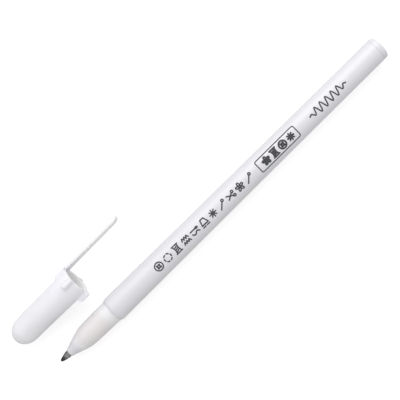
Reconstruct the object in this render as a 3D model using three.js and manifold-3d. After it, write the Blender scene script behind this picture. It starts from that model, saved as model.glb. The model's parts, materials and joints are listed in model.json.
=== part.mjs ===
// Chalk marking pen for cloth, with its cap taken off and laid beside it.
//
// Millimetres, +Z up, lying on the XY plane. The pen lies along X with its writing point towards -X. The cap lies
// on the +Y side with its closed end towards -X. It rests on its dome and on one lug, so its mouth is raised.
// The origin is at the middle of the footprint.
//
// A profile is a list of points (distance along the axis, radius), and turns about that axis.

import * as THREE from 'three';
import Module from 'manifold-3d';
import { mergeVertices } from 'three/addons/utils/BufferGeometryUtils.js';

// Whole pen
const penLength = 140; // front of the ball to the flat of the tail
const fitGap = 0.05; // round a pressed or running piece
const seatGap = 0.06; // between a shoulder and its seat
const outerSides = 40; // facets round a piece that shows
const innerSides = 24; // facets round a piece inside

// Writing point
const ballRadius = 0.35;
const ballShow = 0.22; // how far the ball stands out of its socket
const ballPlay = 0.015; // running clearance round the ball
const lipWall = 0.09; // crimped rim round the ball
const pointRadius = 1.15; // shank of the metal point
const pointConeLength = 2.65;
const pointConeBulge = 0.1; // how far the cone swells past a straight line
const pointLength = 11.6;
const pointShows = 3.5; // metal in front of the nose
const ductRadius = 0.2; // ink duct behind the ball
const ductLength = 0.7;
const channelRadius = 0.5; // holds the ball spring
const channelTaper = 0.5; // length of the taper from the duct to the channel
const crimpRadius = 0.3; // end of the shank, closed in behind the spring
const crimpLength = 0.3;

// Ball spring: a straight finger that bears on the ball, then the coil
const springWireRadius = 0.06;
const springTurns = 9;
const springStepsPerTurn = 8;
const springWireSides = 5;
const springSideGap = 0.08; // between the coil and the channel

// Nose section
const noseLength = 18.65; // from its front rim to the barrel
const noseFrontRadius = 1.35;
const noseConeLength = 4.9; // straight part of the cone
const noseConeRadius = 2.97; // where the cone starts to round over
const noseShoulder = 9.3; // from the front rim to the end of the rounding
const noseShoulderRadius = 3.69;
const noseRearRadius = 3.92;
const noseWall = 0.75;
const spigotLength = 8.6; // pressed into the barrel
const spigotRadius = 3.45;
const snapBeadOffset = 5.5; // from the nose's shoulder
const snapBeadWidth = 0.8;
const snapBeadHeight = 0.12;

// Ink tube, ink and the grease that follows it
const tubeRadius = 2.75;
const tubeWall = 0.45;
const tubeSideGap = 0.3; // to the barrel's bore
const tubeNoseGap = 0.2; // to the inside of the nose
const tubeEndGap = 0.3; // to the tail plug
const inkLength = 86;
const followerLength = 6;
const followerDish = 0.8; // depth of the hollow in its back

// Tip holder, which joins the point to the ink tube
const holderFrontRadius = 1.45;
const holderRadius = 2.6;
const holderLength = 12.7; // front rim to the shoulder that the ink tube meets
const holderFlange = 1.0;
const holderPlugLength = 5.8;
const holderChannelRadius = 0.8;

// Barrel
const barrelRimRadius = 3.98; // front edge
const barrelLeadIn = 0.9; // length of the cone behind that edge
const barrelFrontRadius = 4.33;
const barrelTailRadius = 3.93;
const barrelDraftPower = 1.7; // above 1, most of the draft comes near the front
const barrelSteps = 8;
const socketSlack = 0.4; // socket beyond the end of the spigot

// Tail plug
const tailHeadLength = 1.85;
const tailEdgeRadius = 0.85;
const tailSpigotLength = 7;
const tailSpigotChamfer = 0.3;
const tailCoreRadius = 2.2;
const tailFloor = 0.8; // solid behind the flat of the tail, beyond the barrel's end
const ventRadius = 0.4;

// Cap
const capDomeLength = 5.2;
const capDomeRadius = 4.43; // where the dome meets the wall
const capMouthRadius = 4.75;
const capMouthEdge = 0.25; // chamfer round the outside of the mouth
const capLeadIn = 0.3; // chamfer round the inside of the mouth
const capNoseGap = 0.07; // grip of the cap on the back of the nose
const capBoreTaper = 0.27; // the bore is this much smaller at its inner end
const capEndWall = 1.25;
const capDomeWall = 0.8;
const domeSteps = 9;

// Seal inside the closed end of the cap, and the socket that holds it
const sealRadius = 1.8;
const sealLength = 3.68;
const sealSocketWall = 0.7;
const sealShow = 0.7; // seal beyond its socket
const sealDish = 0.15;

// Lugs round the mouth
const lugReach = 6.3; // from the axis
const lugWidth = 1.8;
const lugLength = 3.9;
const lugRamp = 0.65; // slope at the end away from the mouth
const lugEdge = 0.3;
const lugSteps = 4;

// Clip
const clipWidth = 4.6;
const clipTipWidth = 3.8;
const clipThickness = 1.05;
const clipBarrelGap = 0.08; // to the thickest part of the barrel when the cap is on
const clipCrown = 0.3; // how far its long edges bend in round the barrel
const clipReach = 22.9; // beyond the mouth
const clipFlareLength = 2.4;
const clipFlare = 0.6;
const clipHingeGap = 0.1; // slit that lets the clip flex
const clipRootLength = 4.5;
const clipRootRamp = 0.5;

// Cap as laid down beside the pen
const capSpacing = 14.7; // between the two axes
const capBehindPoint = 5.65; // closed end, in front of the ball
const capRoll = 10; // degrees, clip side down

// Places along the pen that follow from the sizes above
const noseStart = ballShow + pointShows;
const noseEnd = noseStart + noseLength;
const pointEnd = ballShow + pointLength;
const noseSlope = (noseConeRadius - noseFrontRadius) / noseConeLength;
const pointBoreRadius = pointRadius + fitGap;
const noseBoreRadius = tubeRadius + tubeNoseGap;
const noseBoreStart = noseStart + (pointBoreRadius + noseWall - noseFrontRadius) / noseSlope;
const holderStart = noseBoreStart + (holderFrontRadius + seatGap - pointBoreRadius) / noseSlope;
const holderShoulder = holderStart + holderLength;
const holderEnd = holderShoulder + holderPlugLength;
const tailHeadStart = penLength - tailHeadLength;
const tailSpigotStart = tailHeadStart - tailSpigotLength;
const tubeStart = holderShoulder + seatGap;
const tubeBoreRadius = tubeRadius - tubeWall;
const inkStart = holderEnd + fitGap;
const barrelBoreRadius = tubeRadius + tubeSideGap;
const barrelEnd = tailHeadStart - seatGap;
const sealFace = capEndWall + sealLength;
const capLength = sealFace + noseEnd; // the ball meets the seal when the cap's mouth meets the barrel
const clipInner = barrelFrontRadius + clipBarrelGap;
const clipOuter = clipInner + clipThickness;

const wasm = await Module();
wasm.setup();

const point = (along, radius) => new THREE.Vector2(along, radius);

// Solid turned about X from a profile that closes on itself or starts and ends on the axis. The outside runs
// towards +X and the inside runs back.
function turned(profile, sides) {
  const upright = profile.map((p) => new THREE.Vector2(p.y, p.x));
  return new THREE.LatheGeometry(upright, sides).rotateZ(-Math.PI / 2);
}

// Joins doubled corners and drops the triangles that shrink to nothing at a pole.
function welded(geometry) {
  const bare = geometry.clone();
  bare.deleteAttribute('normal');
  bare.deleteAttribute('uv');
  const joined = mergeVertices(bare, 1e-4);
  const corners = joined.index.array;
  const kept = [];
  for (let i = 0; i < corners.length; i += 3) {
    const [a, b, c] = corners.slice(i, i + 3);
    if (a !== b && b !== c && c !== a) kept.push(a, b, c);
  }
  joined.setIndex(kept);
  return joined;
}

function asSolid(geometry) {
  const mesh = welded(geometry);
  return new wasm.Manifold(new wasm.Mesh({
    numProp: 3,
    vertProperties: new Float32Array(mesh.attributes.position.array),
    triVerts: new Uint32Array(mesh.index.array),
  }));
}

function asGeometry(solid) {
  const mesh = solid.getMesh();
  const geometry = new THREE.BufferGeometry();
  geometry.setAttribute('position', new THREE.BufferAttribute(mesh.vertProperties, 3));
  geometry.setIndex(new THREE.BufferAttribute(mesh.triVerts, 1));
  geometry.computeVertexNormals();
  return geometry;
}

function piece(name, geometry, color, roughness, metalness = 0) {
  const mesh = new THREE.Mesh(geometry, new THREE.MeshStandardMaterial({ color, roughness, metalness }));
  mesh.name = name;
  return mesh;
}

// Points of an ellipse arc about (centre, 0), from angle `from` to `to`; 0 points along +X and 90 outwards.
function arc(centre, along, across, from, to, steps) {
  return Array.from({ length: steps + 1 }, (_, i) => {
    const angle = THREE.MathUtils.degToRad(from + ((to - from) * i) / steps);
    return point(centre + along * Math.cos(angle), Math.max(0, across * Math.sin(angle)));
  });
}

const closed = (profile) => [...profile, profile[0].clone()];

// Outer radius of the barrel behind its lead-in cone.
function barrelRadiusAt(x) {
  const start = noseEnd + barrelLeadIn;
  const left = 1 - (x - start) / (barrelEnd - start);
  return barrelTailRadius + (barrelFrontRadius - barrelTailRadius) * left ** barrelDraftPower;
}

function barrel() {
  const socketRadius = spigotRadius + fitGap;
  const start = noseEnd + barrelLeadIn;
  const outside = Array.from({ length: barrelSteps + 1 }, (_, i) => {
    const x = start + ((barrelEnd - start) * i) / barrelSteps;
    return point(x, barrelRadiusAt(x));
  });
  const groove = noseEnd + snapBeadOffset;
  const half = snapBeadWidth / 2 + fitGap;
  const socketEnd = noseEnd + spigotLength + socketSlack;
  const profile = closed([
    point(noseEnd, barrelRimRadius), ...outside,
    point(barrelEnd, barrelBoreRadius), point(socketEnd, barrelBoreRadius), point(socketEnd, socketRadius),
    point(groove + half, socketRadius), point(groove, socketRadius + snapBeadHeight),
    point(groove - half, socketRadius), point(noseEnd, socketRadius),
  ]);
  return piece('barrel', turned(profile, outerSides), 0xf2f2f5, 0.38);
}

// Where the line through `a` with one slope meets the line through `b` with another.
function meet(a, slopeA, b, slopeB) {
  const x = (b.y - a.y + slopeA * a.x - slopeB * b.x) / (slopeA - slopeB);
  return point(x, a.y + slopeA * (x - a.x));
}

function noseSection() {
  const rim = point(noseStart, noseFrontRadius);
  const coneEnd = point(noseStart + noseConeLength, noseConeRadius);
  const shoulder = point(noseStart + noseShoulder, noseShoulderRadius);
  const rearSlope = (noseRearRadius - noseShoulderRadius) / (noseLength - noseShoulder);
  const corner = meet(rim, noseSlope, shoulder, rearSlope);
  const rounding = new THREE.QuadraticBezierCurve(coneEnd, corner, shoulder).getPoints(5);
  const seat = noseEnd - seatGap;
  const bead = noseEnd + snapBeadOffset;
  const spigotEnd = noseEnd + spigotLength;
  const boreFull = noseBoreStart + (noseBoreRadius - pointBoreRadius) / noseSlope;
  const profile = closed([
    rim, ...rounding, point(seat, noseRearRadius), point(seat, spigotRadius),
    point(bead - snapBeadWidth / 2, spigotRadius), point(bead, spigotRadius + snapBeadHeight),
    point(bead + snapBeadWidth / 2, spigotRadius), point(spigotEnd, spigotRadius),
    point(spigotEnd, noseBoreRadius), point(boreFull, noseBoreRadius),
    point(noseBoreStart, pointBoreRadius), point(noseStart, pointBoreRadius),
  ]);
  return piece('nose_section', turned(profile, outerSides), 0xdcd8da, 0.45);
}

function tailPlug() {
  const boreEnd = penLength - tailFloor;
  const round = arc(penLength - tailEdgeRadius, tailEdgeRadius, tailEdgeRadius, 90, 0, 4)
    .map((p) => point(p.x, p.y + barrelTailRadius - tailEdgeRadius));
  const spigot = barrelBoreRadius - fitGap;
  const profile = closed([
    point(tailSpigotStart, tailCoreRadius), point(tailSpigotStart, spigot - tailSpigotChamfer),
    point(tailSpigotStart + tailSpigotChamfer, spigot), point(tailHeadStart, spigot),
    point(tailHeadStart, barrelTailRadius), ...round,
    point(penLength, ventRadius), point(boreEnd, ventRadius), point(boreEnd, tailCoreRadius),
  ]);
  return piece('tail_plug', turned(profile, outerSides), 0xf4f4f6, 0.38);
}

function inkTube() {
  const end = tailSpigotStart - tubeEndGap;
  const profile = closed([
    point(tubeStart, tubeRadius), point(end, tubeRadius), point(end, tubeBoreRadius), point(tubeStart, tubeBoreRadius),
  ]);
  return piece('ink_tube', turned(profile, innerSides), 0xe6e4e6, 0.3);
}

function tipHolder() {
  const coneEnd = holderStart + (holderRadius - holderFrontRadius) / noseSlope;
  const plugRadius = tubeBoreRadius - fitGap;
  const shankEnd = pointEnd + fitGap;
  const flangeStart = holderShoulder - holderFlange;
  const profile = closed([
    point(holderStart, holderFrontRadius), point(coneEnd, holderRadius), point(flangeStart, holderRadius),
    point(flangeStart, tubeRadius), point(holderShoulder, tubeRadius), point(holderShoulder, plugRadius),
    point(holderEnd, plugRadius), point(holderEnd, holderChannelRadius), point(shankEnd, holderChannelRadius),
    point(shankEnd, pointBoreRadius), point(holderStart, pointBoreRadius),
  ]);
  return piece('tip_holder', turned(profile, innerSides), 0xc9bcbe, 0.4);
}

function metalPoint() {
  const socket = ballRadius + ballPlay;
  const lipInner = Math.sqrt(socket ** 2 - (ballRadius - ballShow) ** 2);
  const seatAngle = THREE.MathUtils.radToDeg(Math.asin(ductRadius / socket));
  const lipAngle = 180 - THREE.MathUtils.radToDeg(Math.asin(lipInner / socket));
  const cup = arc(ballRadius, socket, socket, seatAngle, lipAngle, 6);
  const ductEnd = cup[0].x + ductLength;
  const coneEnd = point(ballShow + pointConeLength, pointRadius);
  const lip = point(ballShow, lipInner + lipWall);
  const middle = point((lip.x + coneEnd.x) / 2, (lip.y + coneEnd.y) / 2 + pointConeBulge);
  const cone = new THREE.QuadraticBezierCurve(lip, middle, coneEnd).getPoints(4);
  const profile = closed([
    ...cone, point(pointEnd, pointRadius), point(pointEnd, crimpRadius), point(pointEnd - crimpLength, crimpRadius),
    point(pointEnd - crimpLength, channelRadius), point(ductEnd + channelTaper, channelRadius),
    point(ductEnd, ductRadius), ...cup,
  ]);
  return piece('metal_point', turned(profile, innerSides), 0x4a4a4e, 0.25, 1);
}

function writingBall() {
  const mesh = piece('writing_ball', new THREE.SphereGeometry(ballRadius, 20, 12), 0x2f3033, 0.2, 1);
  mesh.position.set(ballRadius, 0, 0);
  return mesh;
}

// The wire's middle line: along the axis from the ball, then out into turns of even pitch.
class SpringLine extends THREE.Curve {
  constructor(start, coilStart, end, radius, turns) {
    super();
    Object.assign(this, { start, coilStart, end, radius, turns });
  }

  getPoint(t, target = new THREE.Vector3()) {
    const x = THREE.MathUtils.lerp(this.start, this.end, t);
    const wound = Math.max(0, (x - this.coilStart) / (this.end - this.coilStart));
    const angle = 2 * Math.PI * this.turns * wound;
    const out = this.radius * Math.min(1, wound * this.turns);
    return target.set(x, out * Math.cos(angle), out * Math.sin(angle));
  }
}

function ballSpring() {
  const start = ballRadius * 2 + fitGap;
  const coilStart = start + ductLength + channelTaper;
  const end = pointEnd - crimpLength - springWireRadius - fitGap;
  const radius = channelRadius - springSideGap - springWireRadius;
  const line = new SpringLine(start, coilStart, end, radius, springTurns);
  const wire = new THREE.Shape(Array.from({ length: springWireSides }, (_, i) => {
    const angle = (2 * Math.PI * i) / springWireSides;
    return new THREE.Vector2(springWireRadius * Math.cos(angle), springWireRadius * Math.sin(angle));
  }));
  const steps = Math.round(springTurns * springStepsPerTurn * ((end - start) / (end - coilStart)));
  const geometry = new THREE.ExtrudeGeometry(wire, { steps, extrudePath: line, bevelEnabled: false });
  return piece('ball_spring', geometry, 0x9a9a9c, 0.3, 1);
}

function inkCharge() {
  const radius = tubeBoreRadius - fitGap;
  const profile = [
    point(inkStart, 0), point(inkStart, radius), point(inkStart + inkLength, radius), point(inkStart + inkLength, 0),
  ];
  return piece('ink_charge', turned(profile, innerSides), 0xd9cfd0, 0.2);
}

function inkFollower() {
  const start = inkStart + inkLength + fitGap;
  const end = start + followerLength;
  const radius = tubeBoreRadius - fitGap;
  const profile = [
    point(start, 0), point(start, radius), point(end, radius),
    point(end - followerDish * 0.75, radius / 2), point(end - followerDish, 0),
  ];
  return piece('ink_follower', turned(profile, innerSides), 0xe3dfc8, 0.25);
}

const capBoreRadius = noseRearRadius + capNoseGap;

// Solid of the cap's outside: the dome, then a wall with a little draft.
function capOutside() {
  return asSolid(turned([
    ...arc(capDomeLength, capDomeLength, capDomeRadius, 180, 90, domeSteps),
    point(capLength - capMouthEdge, capMouthRadius), point(capLength, capMouthRadius - capMouthEdge),
    point(capLength, 0),
  ], outerSides));
}

// Everything inside the cap that is open: the seal's socket, the trench round it and the bore.
function capCavity() {
  const pocket = sealRadius + fitGap;
  const socketRim = sealFace - sealShow;
  const trench = pocket + sealSocketWall;
  const boreStart = capDomeLength + capDomeWall / 2;
  const past = capLength + capLeadIn;
  return asSolid(turned([
    point(capEndWall, 0), point(capEndWall, pocket), point(socketRim, pocket), point(socketRim, trench),
    point(socketRim - sealSocketWall, trench), point(boreStart - 2 * capDomeWall, capDomeRadius - 1.5 * capDomeWall),
    point(boreStart, capBoreRadius - capBoreTaper), point(capLength - capLeadIn, capBoreRadius),
    point(past, capBoreRadius + 2 * capLeadIn), point(past, 0),
  ], outerSides));
}

// One lug: a block with its outer face on a circle, from inside the wall out to its reach, up to the mouth. It is
// its front view cut through by its side view, which gives it its sloping end.
function lug(angle) {
  const halfAngle = Math.asin(lugWidth / 2 / lugReach);
  const edge = Math.min(lugEdge, lugWidth / 3);
  const edgeAngle = edge / lugReach;
  const root = capMouthRadius - capMouthEdge - edge;
  const shape = new THREE.Shape();
  shape.moveTo(root, -lugWidth / 2);
  shape.lineTo((lugReach - edge) * Math.cos(halfAngle), -lugWidth / 2);
  for (let i = 0; i <= lugSteps; i += 1) {
    const at = THREE.MathUtils.lerp(-halfAngle + edgeAngle, halfAngle - edgeAngle, i / lugSteps);
    shape.lineTo(lugReach * Math.cos(at), lugReach * Math.sin(at));
  }
  shape.lineTo((lugReach - edge) * Math.cos(halfAngle), lugWidth / 2);
  shape.lineTo(root, lugWidth / 2);
  shape.closePath();
  const block = new THREE.ExtrudeGeometry(shape, { depth: lugLength, steps: 1, bevelEnabled: false });
  // The extrusion's depth turns from Z to X, and the lug then points along +Y before it is turned to its angle.
  block.applyMatrix4(new THREE.Matrix4().makeBasis(
    new THREE.Vector3(0, 1, 0), new THREE.Vector3(0, 0, 1), new THREE.Vector3(1, 0, 0)));
  const start = capLength - lugLength;
  block.translate(start, 0, 0);

  const past = lugReach + lugEdge;
  const side = new THREE.Shape();
  side.moveTo(start, 0);
  side.lineTo(start, capMouthRadius);
  side.lineTo(start + lugRamp, lugReach);
  side.lineTo(start + lugRamp, past);
  side.lineTo(capLength, past);
  side.lineTo(capLength, 0);
  side.closePath();
  const slope = new THREE.ExtrudeGeometry(side, { depth: 2 * lugWidth, steps: 1, bevelEnabled: false });
  slope.translate(0, 0, -lugWidth);
  const turn = THREE.MathUtils.degToRad(angle);
  return asSolid(block.rotateX(turn)).intersect(asSolid(slope.rotateX(turn)));
}

// Plate of the clip's width, from its side view. Its middle half is flat across, and on each side of that its faces
// slope in to the clip's crown.
function crownedPlate(side) {
  const plate = new THREE.ExtrudeGeometry(side, { depth: clipWidth, steps: 4, bevelEnabled: false, curveSegments: 5 });
  plate.translate(0, 0, -clipWidth / 2);
  const places = plate.attributes.position;
  for (let i = 0; i < places.count; i += 1) {
    const beyond = Math.abs(places.getZ(i)) / (clipWidth / 4) - 1;
    places.setY(i, places.getY(i) - clipCrown * Math.max(0, beyond));
  }
  return asSolid(plate);
}

// Block that the clip grows from, flush with the clip's outer face.
function clipRoot() {
  const start = capLength - clipRootLength;
  const side = new THREE.Shape();
  side.moveTo(start, capBoreRadius / 2);
  side.lineTo(start, clipOuter - clipRootRamp);
  side.lineTo(start + clipRootRamp, clipOuter);
  side.lineTo(capLength, clipOuter);
  side.lineTo(capLength, capBoreRadius / 2);
  side.closePath();
  return crownedPlate(side);
}

function capShell() {
  const lugs = [90, 180, 270].map(lug);
  const shell = lugs.reduce((whole, each) => whole.add(each), capOutside().add(clipRoot())).subtract(capCavity());
  return piece('cap_shell', asGeometry(shell), 0xf6f6fb, 0.36);
}

function tipSeal() {
  const face = sealFace - fitGap;
  const start = capEndWall + fitGap;
  const profile = [
    point(start, 0), point(start, sealRadius), point(face, sealRadius),
    point(face, sealRadius * 0.6), point(face - sealDish, 0),
  ];
  return piece('tip_seal', turned(profile, innerSides), 0xe9e9ea, 0.7);
}

// The clip is its side view cut through by its front view.
function clip() {
  const hinge = capLength + clipHingeGap + clipThickness / 2;
  const middle = (clipInner + clipOuter) / 2;
  const tip = capLength + clipReach;
  const flareStart = tip - clipFlareLength;
  const flareMiddle = (flareStart + tip) / 2;
  const side = new THREE.Shape();
  side.moveTo(hinge, clipOuter);
  side.absarc(hinge, middle, clipThickness / 2, Math.PI / 2, (3 * Math.PI) / 2, false);
  side.lineTo(flareStart, clipInner);
  side.quadraticCurveTo(flareMiddle, clipInner, tip, clipInner + clipFlare);
  side.lineTo(tip, clipOuter + clipFlare - clipThickness / 4);
  side.lineTo(tip - clipThickness / 4, clipOuter + clipFlare);
  side.quadraticCurveTo(flareMiddle, clipOuter, flareStart, clipOuter);
  side.closePath();

  const start = hinge - clipThickness;
  const tipRadius = clipTipWidth / 2;
  const front = new THREE.Shape();
  front.moveTo(start, -clipWidth / 2);
  front.lineTo(tip - tipRadius, -tipRadius);
  front.absarc(tip - tipRadius, 0, tipRadius, -Math.PI / 2, Math.PI / 2, false);
  front.lineTo(start, clipWidth / 2);
  front.closePath();
  const depth = 2 * (clipOuter + clipFlare);
  const outline = new THREE.ExtrudeGeometry(front, { depth, steps: 1, bevelEnabled: false, curveSegments: 8 });
  outline.rotateX(Math.PI / 2).translate(0, depth, 0);
  const solid = crownedPlate(side).intersect(asSolid(outline));
  return piece('clip', asGeometry(solid), 0xf6f6fb, 0.36);
}

// Lean of the cap, in radians, when its dome and the inner end of a lug both touch the ground. With t the tangent
// of the lean, the dome's half axes a and b, and the lug at distance d from the dome's centre and reach r, both
// touch when (a^2 - d^2) t^2 + 2 r d t + b^2 - r^2 = 0.
function capLean() {
  const distance = capLength - lugLength - capDomeLength;
  const square = capDomeLength ** 2 - distance ** 2;
  const linear = lugReach * distance;
  const rest = capDomeRadius ** 2 - lugReach ** 2;
  return Math.atan((-linear + Math.sqrt(linear ** 2 - square * rest)) / square);
}

// Raises a group so that its lowest point is on the ground.
function standOnGround(group) {
  group.position.z -= new THREE.Box3().setFromObject(group, true).min.z;
  return group;
}

function pen() {
  const group = new THREE.Group();
  group.add(
    barrel(), noseSection(), tailPlug(), inkTube(), tipHolder(), metalPoint(), writingBall(), ballSpring(),
    inkCharge(), inkFollower(),
  );
  return standOnGround(group);
}

function cap() {
  const rolled = new THREE.Group();
  rolled.add(capShell(), tipSeal(), clip());
  rolled.rotation.x = -THREE.MathUtils.degToRad(capRoll);
  const leaning = new THREE.Group();
  leaning.add(rolled);
  leaning.rotation.y = -capLean();
  leaning.position.set(-capBehindPoint, capSpacing, 0);
  return standOnGround(leaning);
}

const chalkPen = new THREE.Group();
chalkPen.add(pen(), cap());
const footprint = new THREE.Box3().setFromObject(chalkPen, true).getCenter(new THREE.Vector3());
chalkPen.position.set(-footprint.x, -footprint.y, 0);
chalkPen.updateMatrixWorld(true);

export default chalkPen;
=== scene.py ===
"""Looks of a chalk marking pen for cloth, its cap off and lying beside it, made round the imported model.

Sizes are written in millimetres and turned into metres as a shape goes into its mesh. The pen and the cap each have
a place of their own: x runs along the piece from its front end, y to its side and z up. For the cap, x runs from
its closed end to its mouth and y towards its clip. Shapes are arrays of points, one row for each step along a
profile or path and one column for each step round it. A profile is a list of corners: distance along the axis,
radius, and how far the corner is cut back to round it.
"""

import json
import logging
import math
from collections.abc import Callable, Sequence
from dataclasses import dataclass, replace
from enum import Enum

import bmesh
import bpy
import numpy as np
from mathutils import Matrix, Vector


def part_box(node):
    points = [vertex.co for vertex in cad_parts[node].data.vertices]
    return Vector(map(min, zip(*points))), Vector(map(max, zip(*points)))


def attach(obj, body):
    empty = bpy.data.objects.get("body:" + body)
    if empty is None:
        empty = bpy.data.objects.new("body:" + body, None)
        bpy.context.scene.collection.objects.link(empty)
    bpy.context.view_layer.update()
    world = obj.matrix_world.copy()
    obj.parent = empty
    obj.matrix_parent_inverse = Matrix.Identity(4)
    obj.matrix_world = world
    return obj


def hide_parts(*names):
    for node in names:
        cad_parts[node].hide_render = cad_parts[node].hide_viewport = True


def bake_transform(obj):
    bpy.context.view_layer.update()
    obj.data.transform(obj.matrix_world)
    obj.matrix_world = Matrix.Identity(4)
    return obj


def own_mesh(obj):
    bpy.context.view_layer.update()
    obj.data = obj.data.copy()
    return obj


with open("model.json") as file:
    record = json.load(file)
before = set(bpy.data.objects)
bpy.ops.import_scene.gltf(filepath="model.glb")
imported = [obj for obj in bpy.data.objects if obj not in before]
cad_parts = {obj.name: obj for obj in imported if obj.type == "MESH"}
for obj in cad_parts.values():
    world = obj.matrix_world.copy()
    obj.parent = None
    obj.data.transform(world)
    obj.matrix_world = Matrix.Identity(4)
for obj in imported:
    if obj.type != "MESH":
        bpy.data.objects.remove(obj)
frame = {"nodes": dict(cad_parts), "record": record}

Array = np.ndarray
Span = tuple[float, float]
Triple = tuple[float, float, float]
Colour = Triple
Corner = Triple
Group = bpy.types.NodeTree
Material = bpy.types.Material
Node = bpy.types.Node
Object = bpy.types.Object
Socket = bpy.types.NodeSocket

MM = 0.001
TURN = 2 * math.pi
QUARTER = math.pi / 2
SAME_POINT = 1e-6  # millimetres within which points of a profile are one
MERGE_WITHIN = 2e-7  # metres within which corners of a mesh are merged
UNDER_HALF = 0.49  # the most of a side that the rounding of one of its corners takes
LEAST_SINE = 0.02  # keeps a slope's reach finite straight ahead of it
LEAST_COSINE = 0.2  # and a face's reach finite beside it
log = logging.getLogger("chalk_pen")


class Body(Enum):
    """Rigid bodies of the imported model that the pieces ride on."""

    PEN = "pen"
    BALL = "ball"
    FOLLOWER = "follower"
    CAP = "cap"
    CLIP = "clip"


class Slot(Enum):
    """Material slots of the record."""

    BARREL = "barrel_plastic"
    NOSE = "nose_plastic"
    POINT = "point_steel"
    BALL = "ball_carbide"
    HOLDER = "holder_plastic"
    TUBE = "tube_plastic"
    INK = "ink"
    GREASE = "follower_grease"
    CAP = "cap_plastic"
    SEAL = "seal_rubber"
    PRINT = "print_ink"


class Region(Enum):
    """Parts of the cap's moulding that its mesh marks for the painted light in its finish."""

    BORE = "bore"
    CLIP = "clip"


class Maths(Enum):
    """Ways in which a node puts two numbers together."""

    ADD = "ADD"
    SUBTRACT = "SUBTRACT"
    MULTIPLY = "MULTIPLY"
    MAXIMUM = "MAXIMUM"


@dataclass(frozen=True)
class Place:
    """Where a piece lies: the origin of its own axes in metres, and the directions of those axes."""

    origin: Array
    along: Array
    side: Array
    rise: Array

    def at(self, x: Array | float, y: Array | float, z: Array | float) -> Array:
        """Turns millimetres on the piece's own axes into metres in the model's frame.

        Args:
            x: Distance along the piece.
            y: Distance to its side.
            z: Distance upwards.

        Returns:
            Points with the shape of the inputs taken together and a last axis of three.
        """
        x, y, z = np.broadcast_arrays(x, y, z)
        own = np.stack([x, y, z], axis=-1) * MM
        return self.origin + own @ np.stack([self.along, self.side, self.rise])


def pen_place() -> Place:
    """Finds the pen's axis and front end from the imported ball.

    Returns:
        The pen's place, with its x axis on the row's X.
    """
    low, high = (np.array(corner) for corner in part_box("writing_ball"))
    middle = (low + high) / 2
    x, y, z = np.eye(3)
    return Place(np.array([low[0], middle[1], middle[2]]), x, y, z)


def cap_place(hinge_x: float, hinge_y: float) -> Place:
    """Finds the cap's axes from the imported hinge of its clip.

    The hinge's axis is the cap's z axis. The cap leans but isn't turned in plan, so its x axis is the direction in
    the row's XZ plane at right angles to the hinge, and its y axis is square to both.

    Args:
        hinge_x: The hinge's distance from the cap's closed end.
        hinge_y: The hinge's distance from the cap's axis.

    Returns:
        The cap's place.
    """
    joints = {joint["name"]: joint for joint in frame["record"]["behaviour"]["joints"]}
    hinge = joints["clip_flex"]
    rise = np.array(hinge["axis"], float)
    rise /= np.linalg.norm(rise)
    along = np.array([rise[2], 0.0, -rise[0]])
    along /= np.linalg.norm(along)
    side = np.cross(rise, along)
    origin = np.array(hinge["pos_m"], float) - (hinge_x * along + hinge_y * side) * MM
    return Place(origin, along, side, rise)


@dataclass(frozen=True)
class Skin:
    """A grid of points that becomes faces: rows run along the shape and columns go round it."""

    points: Array
    ring: bool = False

    def faces(self, start: int) -> Array:
        """Numbers the corners of each face.

        Each point is joined to the next in its row and in its column. The last column joins the first, and where
        the profile closes on itself, the last row joins the first too.

        Args:
            start: The number of the grid's first point in the mesh.

        Returns:
            Four corner numbers for each face.
        """
        rows, columns = self.points.shape[:2]
        row = np.arange(rows if self.ring else rows - 1)[:, None]
        column = np.arange(columns)[None, :]
        after, beside = (row + 1) % rows, (column + 1) % columns
        corners = [row * columns + column, row * columns + beside, after * columns + beside, after * columns + column]
        return start + np.stack(np.broadcast_arrays(*corners), axis=-1).reshape(-1, 4)


def put_in_scene(name: str, data: bpy.types.ID) -> Object:
    """Makes an object of a mesh, a camera or a lamp and puts it in the scene.

    Args:
        name: The object's name.
        data: What it is made of.

    Returns:
        The new object.
    """
    made = bpy.data.objects.new(name, data)
    bpy.context.scene.collection.objects.link(made)
    return made


def make_piece(name: str, skins: Sequence[Skin], finish: Material, crease: float = 38.0) -> Object:
    """Makes an object of one or more closed skins, with merged corners, outward faces and smooth shading.

    Args:
        name: The object's name.
        skins: The grids that it is made of.
        finish: Its material.
        crease: Angle in degrees past which an edge stays sharp.

    Returns:
        The new object, at the origin.
    """
    counts = [skin.points.shape[0] * skin.points.shape[1] for skin in skins]
    starts = np.cumsum([0, *counts[:-1]])
    points = np.concatenate([skin.points.reshape(-1, 3) for skin in skins])
    faces = np.concatenate([skin.faces(int(start)) for skin, start in zip(skins, starts)])
    mesh = bpy.data.meshes.new(name)
    mesh.from_pydata(points.tolist(), [], faces.tolist())
    work = bmesh.new()
    work.from_mesh(mesh)
    bmesh.ops.remove_doubles(work, verts=work.verts, dist=MERGE_WITHIN)
    bmesh.ops.recalc_face_normals(work, faces=work.faces)
    work.to_mesh(mesh)
    work.free()
    mesh.shade_smooth()
    mesh.set_sharp_from_angle(angle=math.radians(crease))
    mesh.materials.append(finish)
    return put_in_scene(name, mesh)


def seat(piece: Object, body: Body, slot: Slot, *nodes: str) -> None:
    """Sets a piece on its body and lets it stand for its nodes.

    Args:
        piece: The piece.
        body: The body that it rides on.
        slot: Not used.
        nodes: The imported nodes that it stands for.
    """
    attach(piece, body.value)
    if nodes:
        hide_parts(*nodes)
    log.info("%s rides on %s", piece.name, body.value)


def parabola(first: Array, corner: Array, last: Array, share: Array) -> Array:
    """Arc whose tangents at its two ends meet at a corner.

    At a share s of the way, the three points count for (1 - s) squared, twice s times (1 - s), and s squared.

    Args:
        first: Where the arc starts.
        corner: Where its end tangents meet.
        last: Where it ends.
        share: How far along it each point is, from nought to one.

    Returns:
        The arc's points.
    """
    return (1 - share) ** 2 * first + 2 * share * (1 - share) * corner + share**2 * last


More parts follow.
